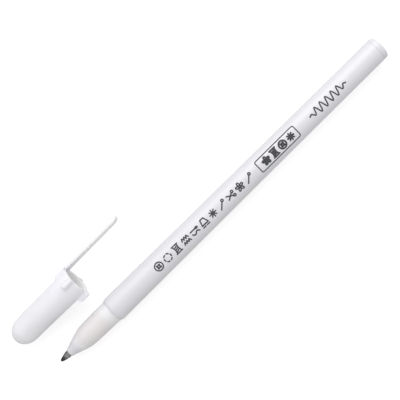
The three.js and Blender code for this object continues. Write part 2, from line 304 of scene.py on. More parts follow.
def softened(corners: Sequence[Corner], ring: bool = True, steps: int = 7) -> Array:
    """Rounds the corners of a profile.

    Each corner is cut back by its third number along both its sides, by less than half of either, and the two cuts
    are joined by a parabola whose tangents are those sides.

    Args:
        corners: The profile.
        ring: Whether the profile closes on itself. If not, its two ends stay as they are.
        steps: Points on each rounded corner.

    Returns:
        Points of the profile, two numbers each.
    """
    data = np.array(corners, float)
    here, cut = data[:, :2], data[:, 2:]
    before, after = np.roll(here, 1, axis=0), np.roll(here, -1, axis=0)
    if not ring:
        cut = cut * np.r_[0.0, np.ones(len(data) - 2), 0.0][:, None]
        before[0], after[-1] = here[1], here[-2]
    back, ahead = before - here, after - here
    back_length = np.linalg.norm(back, axis=1, keepdims=True)
    ahead_length = np.linalg.norm(ahead, axis=1, keepdims=True)
    cut = np.minimum(cut, UNDER_HALF * np.minimum(back_length, ahead_length))
    first, last = here + back / back_length * cut, here + ahead / ahead_length * cut
    share = np.linspace(0.0, 1.0, steps)[None, :, None]
    points = parabola(first[:, None], here[:, None], last[:, None], share).reshape(-1, 2)
    kept = np.linalg.norm(np.diff(points, axis=0, prepend=points[:1] - 1.0), axis=1) > SAME_POINT
    return points[kept]


def turned(place: Place, profile: Array, ring: bool = True, columns: int = 96) -> Skin:
    """Turns a profile's points about the piece's x axis.

    A profile point (x, r) becomes the circle (x, r sin a, r cos a), with a from nought to a full turn.

    Args:
        place: Where the piece lies.
        profile: Points with distance along the axis and radius.
        ring: Whether the profile closes on itself. If not, it starts and ends on the axis.
        columns: Steps round the circle.

    Returns:
        The turned skin.
    """
    angle = np.linspace(0.0, TURN, columns, endpoint=False)[None, :]
    x, radius = profile[:, :1], profile[:, 1:]
    return Skin(place.at(x, radius * np.sin(angle), radius * np.cos(angle)), ring)


def turned_piece(name: str, place: Place, corners: Sequence[Corner], finish: Material, ring: bool = True,
                 columns: int = 96) -> Object:
    """Makes a turned piece from its profile."""
    return make_piece(name, [turned(place, softened(corners, ring), ring, columns)], finish)


def smooth_min(a: Array, b: Array, blend: float) -> Array:
    """The smaller of two values, rounded off where they differ by less than blend."""
    near = np.clip(blend - np.abs(a - b), 0.0, None) / blend
    return np.minimum(a, b) - near**2 * blend / 4


def smooth_max(a: Array, b: Array, blend: float) -> Array:
    """The larger of two values, rounded off where they differ by less than blend."""
    return -smooth_min(-a, -b, blend)


class Tree:
    """A material's or group's node tree, with short ways to add and join its nodes."""

    MIX_INPUTS = (0, 6, 7)
    MIX_OUTPUT = 2

    def __init__(self, nodes: Group) -> None:
        """Takes over a tree and empties it."""
        self.nodes = nodes
        nodes.nodes.clear()

    def add(self, kind: str, **settings: object) -> Node:
        """Adds a node.

        Args:
            kind: Blender's name for the kind of node.
            settings: Its properties.

        Returns:
            The new node.
        """
        node = self.nodes.nodes.new(kind)
        for key, value in settings.items():
            setattr(node, key, value)
        return node

    def fill(self, socket: Socket, value: object) -> None:
        """Joins an output to an input, or sets the input to a plain value.

        Args:
            socket: The input.
            value: The output or the value.
        """
        if isinstance(value, Socket):
            self.nodes.links.new(value, socket)
        else:
            socket.default_value = value

    def feed(self, node: Node, **values: object) -> Node:
        """Fills a node's inputs.

        Args:
            node: The node to fill.
            values: What goes into each input, named by its label with spaces as underscores.

        Returns:
            The same node.
        """
        for label, value in values.items():
            self.fill(node.inputs[label.replace("_", " ")], value)
        return node

    def noise(self, where: Socket, size: Socket, detail: float, rough: float = 0.55) -> Socket:
        """Adds a noise texture and returns its factor."""
        node = self.feed(self.add("ShaderNodeTexNoise"), Vector=where, Scale=size, Detail=detail, Roughness=rough)
        return node.outputs["Fac"]

    def span(self, value: Socket, low: object, high: object, falls: bool = False) -> Socket:
        """Mask that rises smoothly as a value goes from low to high, or falls.

        Args:
            value: The value.
            low: Where the change starts.
            high: Where it ends.
            falls: Whether it goes from one to nought.

        Returns:
            The mask.
        """
        node = self.add("ShaderNodeMapRange", interpolation_type="SMOOTHSTEP")
        self.feed(node, Value=value, From_Min=low, From_Max=high, To_Min=float(falls), To_Max=float(not falls))
        return node.outputs["Result"]

    def sum(self, a: object, b: object, how: Maths = Maths.ADD) -> Socket:
        """Puts two numbers together.

        Args:
            a: The first, a socket or a plain number.
            b: The second.
            how: The way.

        Returns:
            What they make.
        """
        node = self.add("ShaderNodeMath", operation=how.value)
        for socket, value in zip(node.inputs, (a, b)):
            self.fill(socket, value)
        return node.outputs[0]

    def times(self, a: object, b: object) -> Socket:
        """Multiplies two numbers."""
        return self.sum(a, b, Maths.MULTIPLY)

    def tint(self, share: Socket, a: Socket | Colour, b: Socket | Colour) -> Socket:
        """Mixes two colours.

        Args:
            share: How much of the second.
            a: The first, a socket or a plain colour.
            b: The second.

        Returns:
            The mixed colour.
        """
        node = self.add("ShaderNodeMix", data_type="RGBA")
        for spot, value in zip(self.MIX_INPUTS, (share, a, b)):
            self.fill(node.inputs[spot], (*value, 1.0) if isinstance(value, tuple) else value)
        return node.outputs[self.MIX_OUTPUT]


def new_group(name: str, outputs: Sequence[str], **inputs: float) -> tuple[Tree, Sequence[Socket], Sequence[Socket]]:
    """Starts a shader node group that works on a vector.

    Args:
        name: The group's name.
        outputs: Labels of its outputs, each a number.
        inputs: Its other inputs, labels with spaces as underscores, and what they start at.

    Returns:
        The group's tree, the sockets that bring its inputs and those that take its outputs.
    """
    made = bpy.data.node_groups.new(name, "ShaderNodeTree")
    made.interface.new_socket(name="Vector", in_out="INPUT", socket_type="NodeSocketVector")
    for label, value in inputs.items():
        label = label.replace("_", " ")
        made.interface.new_socket(name=label, in_out="INPUT", socket_type="NodeSocketFloat").default_value = value
    for label in outputs:
        made.interface.new_socket(name=label, in_out="OUTPUT", socket_type="NodeSocketFloat")
    tree = Tree(made)
    return tree, tree.add("NodeGroupInput").outputs, tree.add("NodeGroupOutput").inputs


def moulded_group(grain_share: float = 0.35, cloud_edge: Span = (0.3, 0.7)) -> Group:
    """Surface of moulded plastic: a fine grain, a slow swell, and clouds where the plastic flowed unevenly.

    Args:
        grain_share: How high the grain is beside the swell.
        cloud_edge: Values of the noise over which a cloud comes up.

    Returns:
        A group with Height for bump and Cloud, nought to one, for colour and gloss.
    """
    tree, come, go = new_group("moulded_surface", ("Height", "Cloud"), Grain=6000.0, Swell=500.0, Clouds=90.0)
    grain, swell, clouds = (tree.noise(come["Vector"], come[name], detail)
                            for name, detail in (("Grain", 2.0), ("Swell", 3.0), ("Clouds", 4.0)))
    tree.fill(go["Height"], tree.sum(tree.times(grain, grain_share), swell))
    tree.fill(go["Cloud"], tree.span(clouds, *cloud_edge))
    return tree.nodes


def handled_group(smudge_edge: Span = (0.48, 0.72), scratch_edge: Span = (0.66, 0.74),
                  drawn: Triple = (0.07, 1.0, 1.0), slant: Triple = (0.0, 0.12, 0.18)) -> Group:
    """Traces of handling: soft smudges and fine scratches that run mostly along the piece.

    Args:
        smudge_edge: Values of the noise over which a smudge comes up.
        scratch_edge: Values of the noise over which a scratch comes up.
        drawn: Scale of the scratches' noise, which draws them out along the piece.
        slant: Radians by which they are turned.

    Returns:
        A group with Smudge and Scratch, both nought to one.
    """
    tree, come, go = new_group("handled_surface", ("Smudge", "Scratch"), Smudge_Size=160.0, Scratch_Size=900.0)
    smudge = tree.noise(come["Vector"], come["Smudge Size"], detail=5.0, rough=0.65)
    tree.fill(go["Smudge"], tree.span(smudge, *smudge_edge))
    laid = tree.feed(tree.add("ShaderNodeMapping"), Vector=come["Vector"], Scale=drawn, Rotation=slant)
    scratch = tree.noise(laid.outputs["Vector"], come["Scratch Size"], detail=3.0, rough=0.7)
    tree.fill(go["Scratch"], tree.span(scratch, *scratch_edge))
    return tree.nodes


def band_group() -> Group:
    """A soft band across a piece, between two places along the row's X.

    Returns:
        A group with Mask, one inside the band and nought outside it.
    """
    tree, come, go = new_group("band_along_piece", ("Mask",), Start=0.0, End=0.01, Soft=0.001)
    x, soft = tree.feed(tree.add("ShaderNodeSeparateXYZ"), Vector=come["Vector"]).outputs["X"], come["Soft"]
    rise, fall = (tree.span(x, tree.sum(edge, soft, Maths.SUBTRACT), tree.sum(edge, soft), falls)
                  for edge, falls in ((come["Start"], False), (come["End"], True)))
    tree.fill(go["Mask"], tree.times(rise, fall))
    return tree.nodes


def turned_group(ring_edge: Span = (0.35, 0.65), drawn: Triple = (1.0, 0.02, 0.02)) -> Group:
    """Marks of the lathe: rings of uneven depth across a turned piece.

    Args:
        ring_edge: Values of the noise over which a ring comes up.
        drawn: Scale of the rings' noise, which keeps each nearly even all the way round.

    Returns:
        A group with Height for bump and Ring, nought to one, for colour.
    """
    tree, come, go = new_group("turned_marks", ("Height", "Ring"), Rings=9000.0)
    laid = tree.feed(tree.add("ShaderNodeMapping"), Vector=come["Vector"], Scale=drawn)
    ring = tree.noise(laid.outputs["Vector"], come["Rings"], detail=4.0, rough=0.7)
    tree.fill(go["Height"], ring)
    tree.fill(go["Ring"], tree.span(ring, *ring_edge))
    return tree.nodes


@dataclass(frozen=True)
class Workshop:
    """The node groups that the finishes share, built once."""

    moulded: Group
    handled: Group
    band: Group
    lathe: Group

    @classmethod
    def open(cls) -> "Workshop":
        """Builds the groups."""
        return cls(moulded_group(), handled_group(), band_group(), turned_group())


class Surface:
    """A material that is being built: its tree, its shader and its object coordinates."""

    def __init__(self, name: str) -> None:
        """Makes the material with a Principled shader joined to its output.

        Args:
            name: The material's name.
        """
        self.material = bpy.data.materials.new(name)
        self.material.use_nodes = True
        self.tree = Tree(self.material.node_tree)
        out = self.tree.add("ShaderNodeOutputMaterial")
        self.shader = self.tree.add("ShaderNodeBsdfPrincipled")
        self.tree.feed(out, Surface=self.shader.outputs["BSDF"])
        self.where = self.tree.add("ShaderNodeTexCoord").outputs["Object"]

    def group(self, kind: Group, **values: object) -> Node:
        """Places a group in the material, on its object coordinates."""
        return self.tree.feed(self.tree.add("ShaderNodeGroup", node_tree=kind), Vector=self.where, **values)

    def lay(self, **values: object) -> None:
        """Fills inputs of the shader, each named by its label with spaces as underscores."""
        self.tree.feed(self.shader, **values)

    def bump(self, height: Socket, depth: float, strength: float) -> None:
        """Gives the shader a bump of a depth in metres."""
        node = self.tree.feed(self.tree.add("ShaderNodeBump"), Height=height, Distance=depth, Strength=strength)
        self.lay(Normal=node.outputs["Normal"])

    def soil(self, handled: Node, roughness: float, smudged: float, scratched: float = 0.0) -> None:
        """Sets how rough the surface is, and how much rougher where it has been handled.

        Args:
            handled: The group of traces.
            roughness: Roughness of the clean surface.
            smudged: What a smudge adds.
            scratched: What a scratch adds.
        """
        more = self.tree.times(handled.outputs["Smudge"], smudged)
        if scratched:
            more = self.tree.sum(more, self.tree.times(handled.outputs["Scratch"], scratched))
        self.lay(Roughness=self.tree.sum(more, roughness))


@dataclass(frozen=True)
class Plastic:
    """Moulded plastic: its colour where it is thick and where it is thin, its gloss and what shines through it."""

    name: str
    colour: Colour
    cloud_colour: Colour
    roughness: float
    smudged: float = 0.08
    scratched: float = 0.1
    grain: float = 6000.0
    depth: float = 4e-6
    strength: float = 0.6
    glow: float = 0.0
    glow_depth: float = 0.0008
    glow_reach: Triple = (1.0, 0.95, 0.9)
    clear: float = 0.0
    index: float = 1.5
    shine: float = 0.35

    def tone(self, made: Surface, cloud: Socket) -> Socket:
        """Colour over the surface: the thick colour and the thin one, mixed by the clouds."""
        return made.tree.tint(cloud, self.colour, self.cloud_colour)

    def build(self, shop: Workshop) -> Material:
        """Builds the material.

        Args:
            shop: The shared node groups.

        Returns:
            The material.
        """
        made = Surface(self.name)
        moulded = made.group(shop.moulded, Grain=self.grain).outputs
        made.soil(made.group(shop.handled), self.roughness, self.smudged, self.scratched)
        made.bump(moulded["Height"], self.depth, self.strength)
        made.lay(Base_Color=self.tone(made, moulded["Cloud"]), IOR=self.index, Specular_IOR_Level=self.shine,
                 Transmission_Weight=self.clear, Subsurface_Weight=self.glow, Subsurface_Scale=self.glow_depth,
                 Subsurface_Radius=self.glow_reach)
        return made.material


@dataclass(frozen=True)
class CapPlastic(Plastic):
    """The cap's plastic, with painted light: a whiter bore and a whiter, less blue clip stand in for light through the
    thin plastic.
    """

    # painted light: the bore's and the clip's lighter colours stand in for light through the thin plastic
    bore_painted_light: Colour = (0.97, 0.97, 0.975)
    clip_painted_light: Colour = (0.935, 0.93, 0.953)

    def tone(self, made: Surface, cloud: Socket) -> Socket:
        """Colour over the surface: the clouded colour, and the painted light of the bore and the clip where the mesh
        marks them.

        Args:
            made: The material.
            cloud: The clouds' share.

        Returns:
            The colour's socket.
        """
        colour = super().tone(made, cloud)
        # paints light: lightens the bore and the clip where the mesh marks them
        for region, own in ((Region.BORE, self.bore_painted_light), (Region.CLIP, self.clip_painted_light)):
            share = made.tree.add("ShaderNodeAttribute", attribute_type="GEOMETRY", attribute_name=region.value)
            colour = made.tree.tint(share.outputs["Fac"], colour, own)
        return colour


@dataclass(frozen=True)
class Frosted:
    """The nose's milky, see-through plastic, with a bluish front, a warmer middle and a bright band by the barrel.

    The front and the middle are bands: where each starts and ends along the pen, and how soft their edges are.
    """

    name: str
    colour: Colour
    front_colour: Colour
    middle_colour: Colour
    front: Span
    middle: Span
    roughness: float
    clear: float
    soft: float = 1.2
    shine: float = 0.8
    index: float = 1.5
    smudged: float = 0.1
    grain: float = 9000.0
    swell: float = 900.0
    depth: float = 6e-6
    strength: float = 0.7

    def build(self, shop: Workshop, place: Place) -> Material:
        """Builds the material.

        Args:
            shop: The shared node groups.
            place: The pen's place, which sets the bands.

        Returns:
            The material.
        """
        made = Surface(self.name)
        colour = self.colour
        for own, band in ((self.middle_colour, self.middle), (self.front_colour, self.front)):
            start, end = (float(place.origin[0]) + edge * MM for edge in band)
            mask = made.group(shop.band, Start=start, End=end, Soft=self.soft * MM)
            colour = made.tree.tint(mask.outputs["Mask"], colour, own)
        moulded = made.group(shop.moulded, Grain=self.grain, Swell=self.swell)
        made.soil(made.group(shop.handled), self.roughness, self.smudged)
        made.bump(moulded.outputs["Height"], self.depth, self.strength)
        made.lay(Base_Color=colour, IOR=self.index, Specular_IOR_Level=self.shine, Transmission_Weight=self.clear)
        return made.material


@dataclass(frozen=True)
class Metal:
    """Turned or drawn metal, darker in the marks of the lathe, and darkened between two places as a painted dark
    reflection.
    """

    name: str
    colour: Colour
    mark_colour: Colour
    roughness: float
    rings: float = 9000.0
    depth: float = 3e-6
    strength: float = 0.5
    smudged: float = 0.12
    smudge_size: float = 1200.0
    scratch_size: float = 4000.0
    # painted dark reflection: the darkened band's colour, span and soft edges
    painted_dark_colour: Colour = (0.045, 0.045, 0.047)
    painted_dark_span: Span = (0.0, 0.0)
    painted_dark_soft: float = 0.0007

    def build(self, shop: Workshop) -> Material:
        """Builds the material.

        Args:
            shop: The shared node groups.

        Returns:
            The material.
        """
        made = Surface(self.name)
        lathe = made.group(shop.lathe, Rings=self.rings).outputs
        handled = made.group(shop.handled, Smudge_Size=self.smudge_size, Scratch_Size=self.scratch_size)
        colour = made.tree.tint(lathe["Ring"], self.mark_colour, self.colour)
        # paints a dark reflection: darkens the band between the two places
        start, end = self.painted_dark_span
        if end > start:
            painted_dark_band = made.group(shop.band, Start=start, End=end, Soft=self.painted_dark_soft)
            colour = made.tree.tint(painted_dark_band.outputs["Mask"], colour, self.painted_dark_colour)
        made.soil(handled, self.roughness, self.smudged)
        made.bump(lathe["Height"], self.depth, self.strength)
        made.lay(Base_Color=colour, Metallic=1.0)
        return made.material


@dataclass(frozen=True)
class PrintInk:
    """Screen-printed ink, a little thin in places and rubbed along its scratches."""

    name: str
    colour: Colour
    thin_colour: Colour
    roughness: float
    grain: float = 16000.0
    swell: float = 4000.0
    clouds: float = 2500.0
    smudged: float = 0.15
    smudge_size: float = 700.0
    depth: float = 3e-6
    strength: float = 0.6

    def build(self, shop: Workshop) -> Material:
        """Builds the material.

        Args:
            shop: The shared node groups.

        Returns:
            The material.
        """
        made = Surface(self.name)
        moulded = made.group(shop.moulded, Grain=self.grain, Swell=self.swell, Clouds=self.clouds).outputs
        handled = made.group(shop.handled, Smudge_Size=self.smudge_size)
        worn = made.tree.sum(moulded["Cloud"], handled.outputs["Scratch"], Maths.MAXIMUM)
        made.soil(handled, self.roughness, self.smudged)
        made.bump(moulded["Height"], self.depth, self.strength)
        made.lay(Base_Color=made.tree.tint(worn, self.colour, self.thin_colour))
        return made.material


WHITE_BARREL = Plastic("barrel_white", (0.763, 0.761, 0.797), (0.748, 0.746, 0.783), 0.34, glow=0.1, shine=0.9)
WHITE_CAP = CapPlastic("cap_white", (0.890, 0.881, 0.972), (0.875, 0.866, 0.957), 0.36, glow=1.0, glow_depth=0.001)
FROSTED_NOSE = Frosted("nose_frosted", (0.98, 0.98, 0.995), (0.856, 0.850, 0.892), (0.935, 0.90, 0.904),
                       front=(3.0, 7.3), middle=(8.6, 19.2), roughness=0.29, clear=0.16)
DARK_STEEL = Metal("point_steel", (0.35, 0.35, 0.355), (0.12, 0.12, 0.124), 0.24)
BALL_CARBIDE = Metal("ball_carbide", (0.10, 0.10, 0.105), (0.06, 0.06, 0.065), 0.2, rings=30000.0, depth=1e-6)
SPRING_WIRE = Metal("spring_wire", (0.52, 0.52, 0.53), (0.40, 0.40, 0.41), 0.3, rings=20000.0)
MILKY_HOLDER = Plastic("holder_milky", (0.90, 0.82, 0.82), (0.86, 0.78, 0.78), 0.42, glow=0.3)
MILKY_TUBE = Plastic("tube_milky", (0.90, 0.90, 0.92), (0.86, 0.86, 0.88), 0.3, clear=0.5)
WHITE_INK = Plastic("ink_white", (0.84, 0.81, 0.82), (0.80, 0.76, 0.77), 0.18, grain=2500.0)
FOLLOWER_GEL = Plastic("follower_gel", (0.84, 0.80, 0.62), (0.80, 0.75, 0.55), 0.14, clear=0.6, grain=2500.0)
SOFT_SEAL = Plastic("seal_rubber", (0.62, 0.62, 0.63), (0.56, 0.56, 0.57), 0.72, grain=12000.0, depth=1e-5)
PRINT_INK = PrintInk("print_ink", (0.022, 0.022, 0.025), (0.060, 0.060, 0.066), 0.52)


@dataclass(frozen=True)
class Motif:
    """Print on the barrel: a line of plain sewing marks, a thin frame with four bold ones, and a wave of thread.

    Each mark is a set of strokes on a square from -1 to 1, with the first number along the pen and the second
    across it, towards the cap's side. The sizes named stroke are half the width of the printed line, and film is
    how high the ink stands. Strokes are cut into lengths of at most longest, and shortest keeps the direction of an
    empty one finite.
    """

    start: float = 42.8
    pitch: float = 3.9
    half_size: float = 1.45
    stroke: float = 0.23
    offset: float = -0.38
    frame_from: float = 86.15
    frame_to: float = 102.6
    frame_half: float = 2.15
    frame_round: float = 0.55
    frame_stroke: float = 0.2
    framed_start: float = 89.45
    framed_pitch: float = 3.5
    framed_half_size: float = 1.36
    framed_stroke: float = 0.31
    thread_from: float = 108.4
    thread_to: float = 123.8
    thread_half: float = 1.4
    thread_turns: float = 6.5
    thread_swell: float = 0.2
    thread_stroke: float = 0.24
    film: float = 0.012
    longest: float = 0.45
    shortest: float = 1e-9

    @staticmethod
    def loop(x: float, y: float, radius: float, steps: int = 14) -> Array:
        """A closed ring of points about (x, y)."""
        angle = np.linspace(0.0, TURN, steps + 1)
        return np.stack([x + radius * np.cos(angle), y + radius * np.sin(angle)], axis=1)

    @staticmethod
    def line(*points: tuple[float, float]) -> Array:
        """A stroke through points."""
        return np.array(points, float)

    def button(self) -> list[Array]:
        """A round button with its rim and four holes."""
        holes = [self.loop(x, y, 0.13, 6) for x in (-0.27, 0.27) for y in (-0.27, 0.27)]
        return [self.loop(0.0, 0.0, 0.95, 20), *holes]

    def spool(self) -> list[Array]:
        """A spool standing across the pen, with three turns of thread.

        Returns:
            Its strokes.
        """
        rims = [self.line((-0.8, y), (0.8, y)) for y in (-0.95, 0.95)]
        sides = [self.line((x, -0.9), (0.72 * x, 0.0), (x, 0.9)) for x in (-0.6, 0.6)]
        turns = [self.line((-0.42, y - 0.13), (0.42, y + 0.13)) for y in (-0.45, 0.0, 0.45)]
        return rims + sides + turns

    def needle(self) -> list[Array]:
        """A needle along the pen, with its eye, and a wave of thread beside it.

        Returns:
            Its strokes.
        """
        eye = self.loop(0.0, 0.0, 1.0, 10) * [0.3, 0.17] + [0.7, 0.4]
        x = np.linspace(-0.95, 0.95, 9)
        return [self.line((-1.0, 0.4), (0.4, 0.4)), eye, np.stack([x, 0.25 * np.sin(4 * x) - 0.45], axis=1)]

    def pin(self) -> list[Array]:
        """A dressmaker's pin, slanted, with its round head."""
        return [self.line((-0.85, -0.85), (0.4, 0.4)), self.loop(0.6, 0.6, 0.26, 10)]

    def running_stitch(self) -> list[Array]:
        """Six short stitches in a ring."""
        angle = np.arange(6)[:, None] * math.pi / 3 + np.linspace(-0.27, 0.27, 4)
        return list(0.88 * np.stack([np.cos(angle), np.sin(angle)], axis=-1))

    def zigzag(self) -> list[Array]:
        """Two zigzag rows."""
        return [self.line(*((x, y + (0.28 if i % 2 else -0.28)) for i, x in enumerate(np.linspace(-0.9, 0.9, 7))))
                for y in (-0.5, 0.5)]

    def chalk(self) -> list[Array]:
        """A wedge of tailor's chalk and the line that it has drawn."""
        return [self.line((-0.85, -0.45), (0.85, -0.45), (0.45, 0.85), (-0.45, 0.85), (-0.85, -0.45)),
                self.line((-0.9, -0.92), (-0.2, -0.92)), self.line((0.2, -0.92), (0.9, -0.92))]

    def daisy(self) -> list[Array]:
        """A flower of five looped stitches: one long loop turned by fifths of a circle.

        Returns:
            Its strokes.
        """
        petal = self.loop(0.0, 0.0, 1.0, 10) * [0.4, 0.24] + [0.6, 0.0]
        turns = [(math.cos(a), math.sin(a)) for a in np.arange(5) * 2 * math.pi / 5 + QUARTER]
        return [petal @ np.array([[c, s], [-s, c]]) for c, s in turns]

    def scissors(self) -> list[Array]:
        """A pair of scissors, half open."""
        blades = [self.line((-0.95, -0.5 * side), (0.5, 0.38 * side)) for side in (-1, 1)]
        return blades + [self.loop(0.72, 0.5 * side, 0.26, 10) for side in (-1, 1)]

    def star(self) -> list[Array]:
        """An eight-armed star stitch."""
        angle = np.arange(4) * math.pi / 4
        return [self.line((-0.85 * c, -0.85 * s), (0.85 * c, 0.85 * s)) for c, s in zip(np.cos(angle), np.sin(angle))]

    def row(self, marks: Sequence[Callable[[], list[Array]]], start: float, pitch: float, half_size: float,
            stroke: float) -> list[tuple[Array, float]]:
        """Lays marks side by side along the pen.

        Args:
            marks: What draws each mark.
            start: Where the first mark's middle is.
            pitch: From one middle to the next.
            half_size: Half the size of the square that a mark is drawn on.
            stroke: Half-width of the strokes.

        Returns:
            Each stroke's points in millimetres on the pen's skin, and its half-width.
        """
        return [(line * half_size + [start + pitch * i, self.offset], stroke)
                for i, draw in enumerate(marks) for line in draw()]

    def strokes(self) -> list[tuple[Array, float]]:
        """Lays out the whole print.

        Returns:
            Each stroke's points in millimetres on the pen's skin, and its half-width.
        """
        marks = [self.button, self.running_stitch, self.spool, self.zigzag, self.needle, self.chalk,
                 self.star, self.pin, self.scissors, self.daisy, self.pin]
        framed = [self.daisy, self.spool, self.button, self.star]
        return [*self.row(marks, self.start, self.pitch, self.half_size, self.stroke),
                *self.row(framed, self.framed_start, self.framed_pitch, self.framed_half_size, self.framed_stroke),
                (self.border(), self.frame_stroke), (self.thread(), self.thread_stroke)]

    def thread(self) -> Array:
        """A long wave of thread: a sine that swells from a straight start and dies down at its end.

        Returns:
            Its points.
        """
        share = np.linspace(0.0, 1.0, 90)
        swell = np.minimum(1.0, np.minimum(share, 1 - share) / self.thread_swell)
        wave = self.thread_half * swell * np.sin(TURN * self.thread_turns * share)
        return np.stack([self.thread_from + (self.thread_to - self.thread_from) * share, self.offset + wave], axis=1)

    def border(self) -> Array:
        """The thin frame: a rectangle whose corners are quarter circles.

        Returns:
            Its points, closed.
        """
        r = self.frame_round
        angle = np.linspace(0.0, QUARTER, 6)[None, :] + np.arange(4)[:, None] * QUARTER
        x = np.array([self.frame_to - r, self.frame_from + r, self.frame_from + r, self.frame_to - r])[:, None]
        y = self.offset + np.array([1.0, 1.0, -1.0, -1.0])[:, None] * (self.frame_half - r)
        points = np.stack([x + r * np.cos(angle), y + r * np.sin(angle)], axis=-1).reshape(-1, 2)
        return np.concatenate([points, points[:1]])

    def short_lengths(self, path: Array) -> Array:
        """Cuts a stroke into straight lengths short enough to follow the barrel's curve.

        Args:
            path: The stroke's points.

        Returns:
            Start and end of each length, four numbers each.
        """
        step = np.diff(path, axis=0)
        counts = np.maximum(1, np.ceil(np.linalg.norm(step, axis=1) / self.longest)).astype(int)
        begin = np.repeat(path[:-1], counts, axis=0)
        share = np.concatenate([np.arange(n) / n for n in counts])[:, None]
        part = np.repeat(step / counts[:, None], counts, axis=0)
        first = begin + np.repeat(step, counts, axis=0) * share
        return np.concatenate([first, first + part], axis=1)

    def skins(self, place: Place, barrel: "Barrel") -> list[Skin]:
        """Wraps each stroke on the barrel as a thin bead of ink with round ends.

        Each length is a flat bead: its half-width and its height both follow the cosine of an angle that goes
        through a quarter turn at each end. A point x along and y across lies on the barrel at the angle y over the
        radius there.

        Args:
            place: The pen's place.
            barrel: The barrel, which gives its radius.

        Returns:
            One skin for each length.
        """
        cuts = [(self.short_lengths(path), width) for path, width in self.strokes()]
        ends = np.concatenate([cut for cut, _ in cuts])
        width = np.concatenate([np.full(len(cut), w) for cut, w in cuts])[:, None, None]
        first, last = ends[:, None, None, :2], ends[:, None, None, 2:]
        run = last - first
        ahead = run / np.maximum(np.linalg.norm(run, axis=-1, keepdims=True), self.shortest)
        across = np.stack([-ahead[..., 1], ahead[..., 0]], axis=-1)
        bend = np.radians([-90.0, -60.0, -30.0, 0.0, 0.0, 30.0, 60.0, 90.0])[None, :, None]
        at_end = np.array([0.0] * 4 + [1.0] * 4)[None, :, None]
        angle = np.linspace(0.0, TURN, 8, endpoint=False)[None, None, :]
        flat = first + run * at_end[..., None] + ahead * (width * np.sin(bend))[..., None]
        flat = flat + across * (width * np.cos(bend) * np.cos(angle))[..., None]
        radius = barrel.outer_radius(flat[..., 0]) + self.film * np.cos(bend) * np.sin(angle)
        turn = flat[..., 1] / radius
        points = place.at(flat[..., 0], radius * np.sin(turn), radius * np.cos(turn))
        return [Skin(bead) for bead in points]


@dataclass(frozen=True)
class Barrel:
    """White barrel with its tail plug and its print."""

    front: float = 22.37
    lead_in: float = 0.9
    rim_radius: float = 3.98
    front_radius: float = 4.33
    tail_radius: float = 3.93
    draft_power: float = 1.7
    end: float = 138.09
    bore_radius: float = 3.05
    socket_radius: float = 3.5
    socket_depth: float = 9.0
    tail_start: float = 138.12
    length: float = 140.0
    tail_edge: float = 0.85
    tail_spigot: float = 7.0
    tail_core: float = 2.2
    tail_floor: float = 0.8
    clearance: float = 0.05
    vent: float = 0.4
    rim_round: float = 0.06
    lead_in_round: float = 0.35
    seam_round: float = 0.03

    def outer_radius(self, x: Array) -> Array:
        """Radius of the barrel's outside behind its lead-in.

        The radius falls from the front to the tail by a power of the share of the length that is left.

        Args:
            x: Distances along the pen.

        Returns:
            The radius at each.
        """
        start = self.front + self.lead_in
        left = np.clip(1 - (x - start) / (self.end - start), 0.0, 1.0)
        return self.tail_radius + (self.front_radius - self.tail_radius) * left**self.draft_power

    def tube(self, place: Place, finish: Material) -> Object:
        """Makes the barrel: rounded front rim, lead-in cone, long draft, and the bore with its socket.

        Args:
            place: The pen's place.
            finish: The material.

        Returns:
            The barrel.
        """
        x = np.linspace(self.front + self.lead_in, self.end, 60)
        draft = [(a, float(r), 0.0) for a, r in zip(x, self.outer_radius(x))]
        draft[0] = (*draft[0][:2], self.lead_in_round)
        draft[-1] = (self.end, self.tail_radius, self.seam_round)
        socket_end = self.front + self.socket_depth
        corners = [(self.front, self.rim_radius, self.rim_round), *draft, (self.end, self.bore_radius, 0.1),
                   (socket_end, self.bore_radius, 0.0), (socket_end, self.socket_radius, 0.0),
                   (self.front, self.socket_radius, 0.1)]
        return turned_piece("barrel_tube", place, corners, finish, columns=128)

    def tail(self, place: Place, finish: Material) -> Object:
        """Makes the tail plug: a domed edge round a flat end with a small vent, and the spigot in the barrel.

        The edge is a quarter circle.

        Args:
            place: The pen's place.
            finish: The material.

        Returns:
            The plug.
        """
        spigot = self.bore_radius - self.clearance
        core_start, core_end = self.tail_start - self.tail_spigot, self.length - self.tail_floor
        angle = np.linspace(QUARTER, 0.0, 12)
        edge = [(self.length - self.tail_edge * (1 - c), self.tail_radius - self.tail_edge * (1 - s), 0.0)
                for c, s in zip(np.cos(angle), np.sin(angle))]
        corners = [(core_start, self.tail_core, 0.05), (core_start, spigot, 0.3), (self.tail_start, spigot, 0.0),
                   (self.tail_start, self.tail_radius, self.seam_round), *edge,
                   (self.length, self.vent, self.rim_round),
                   (core_end, self.vent, 0.0), (core_end, self.tail_core, 0.2)]
        return turned_piece("tail_cap", place, corners, finish)

    def build(self, place: Place, shop: Workshop) -> None:
        """Makes the barrel, its tail and its print.

        Args:
            place: The pen's place.
            shop: The shared node groups.
        """
        white = WHITE_BARREL.build(shop)
        seat(self.tube(place, white), Body.PEN, Slot.BARREL, "barrel")
        seat(self.tail(place, white), Body.PEN, Slot.BARREL, "tail_plug")
        marks = make_piece("barrel_print", Motif().skins(place, self), PRINT_INK.build(shop))
        seat(marks, Body.PEN, Slot.PRINT)


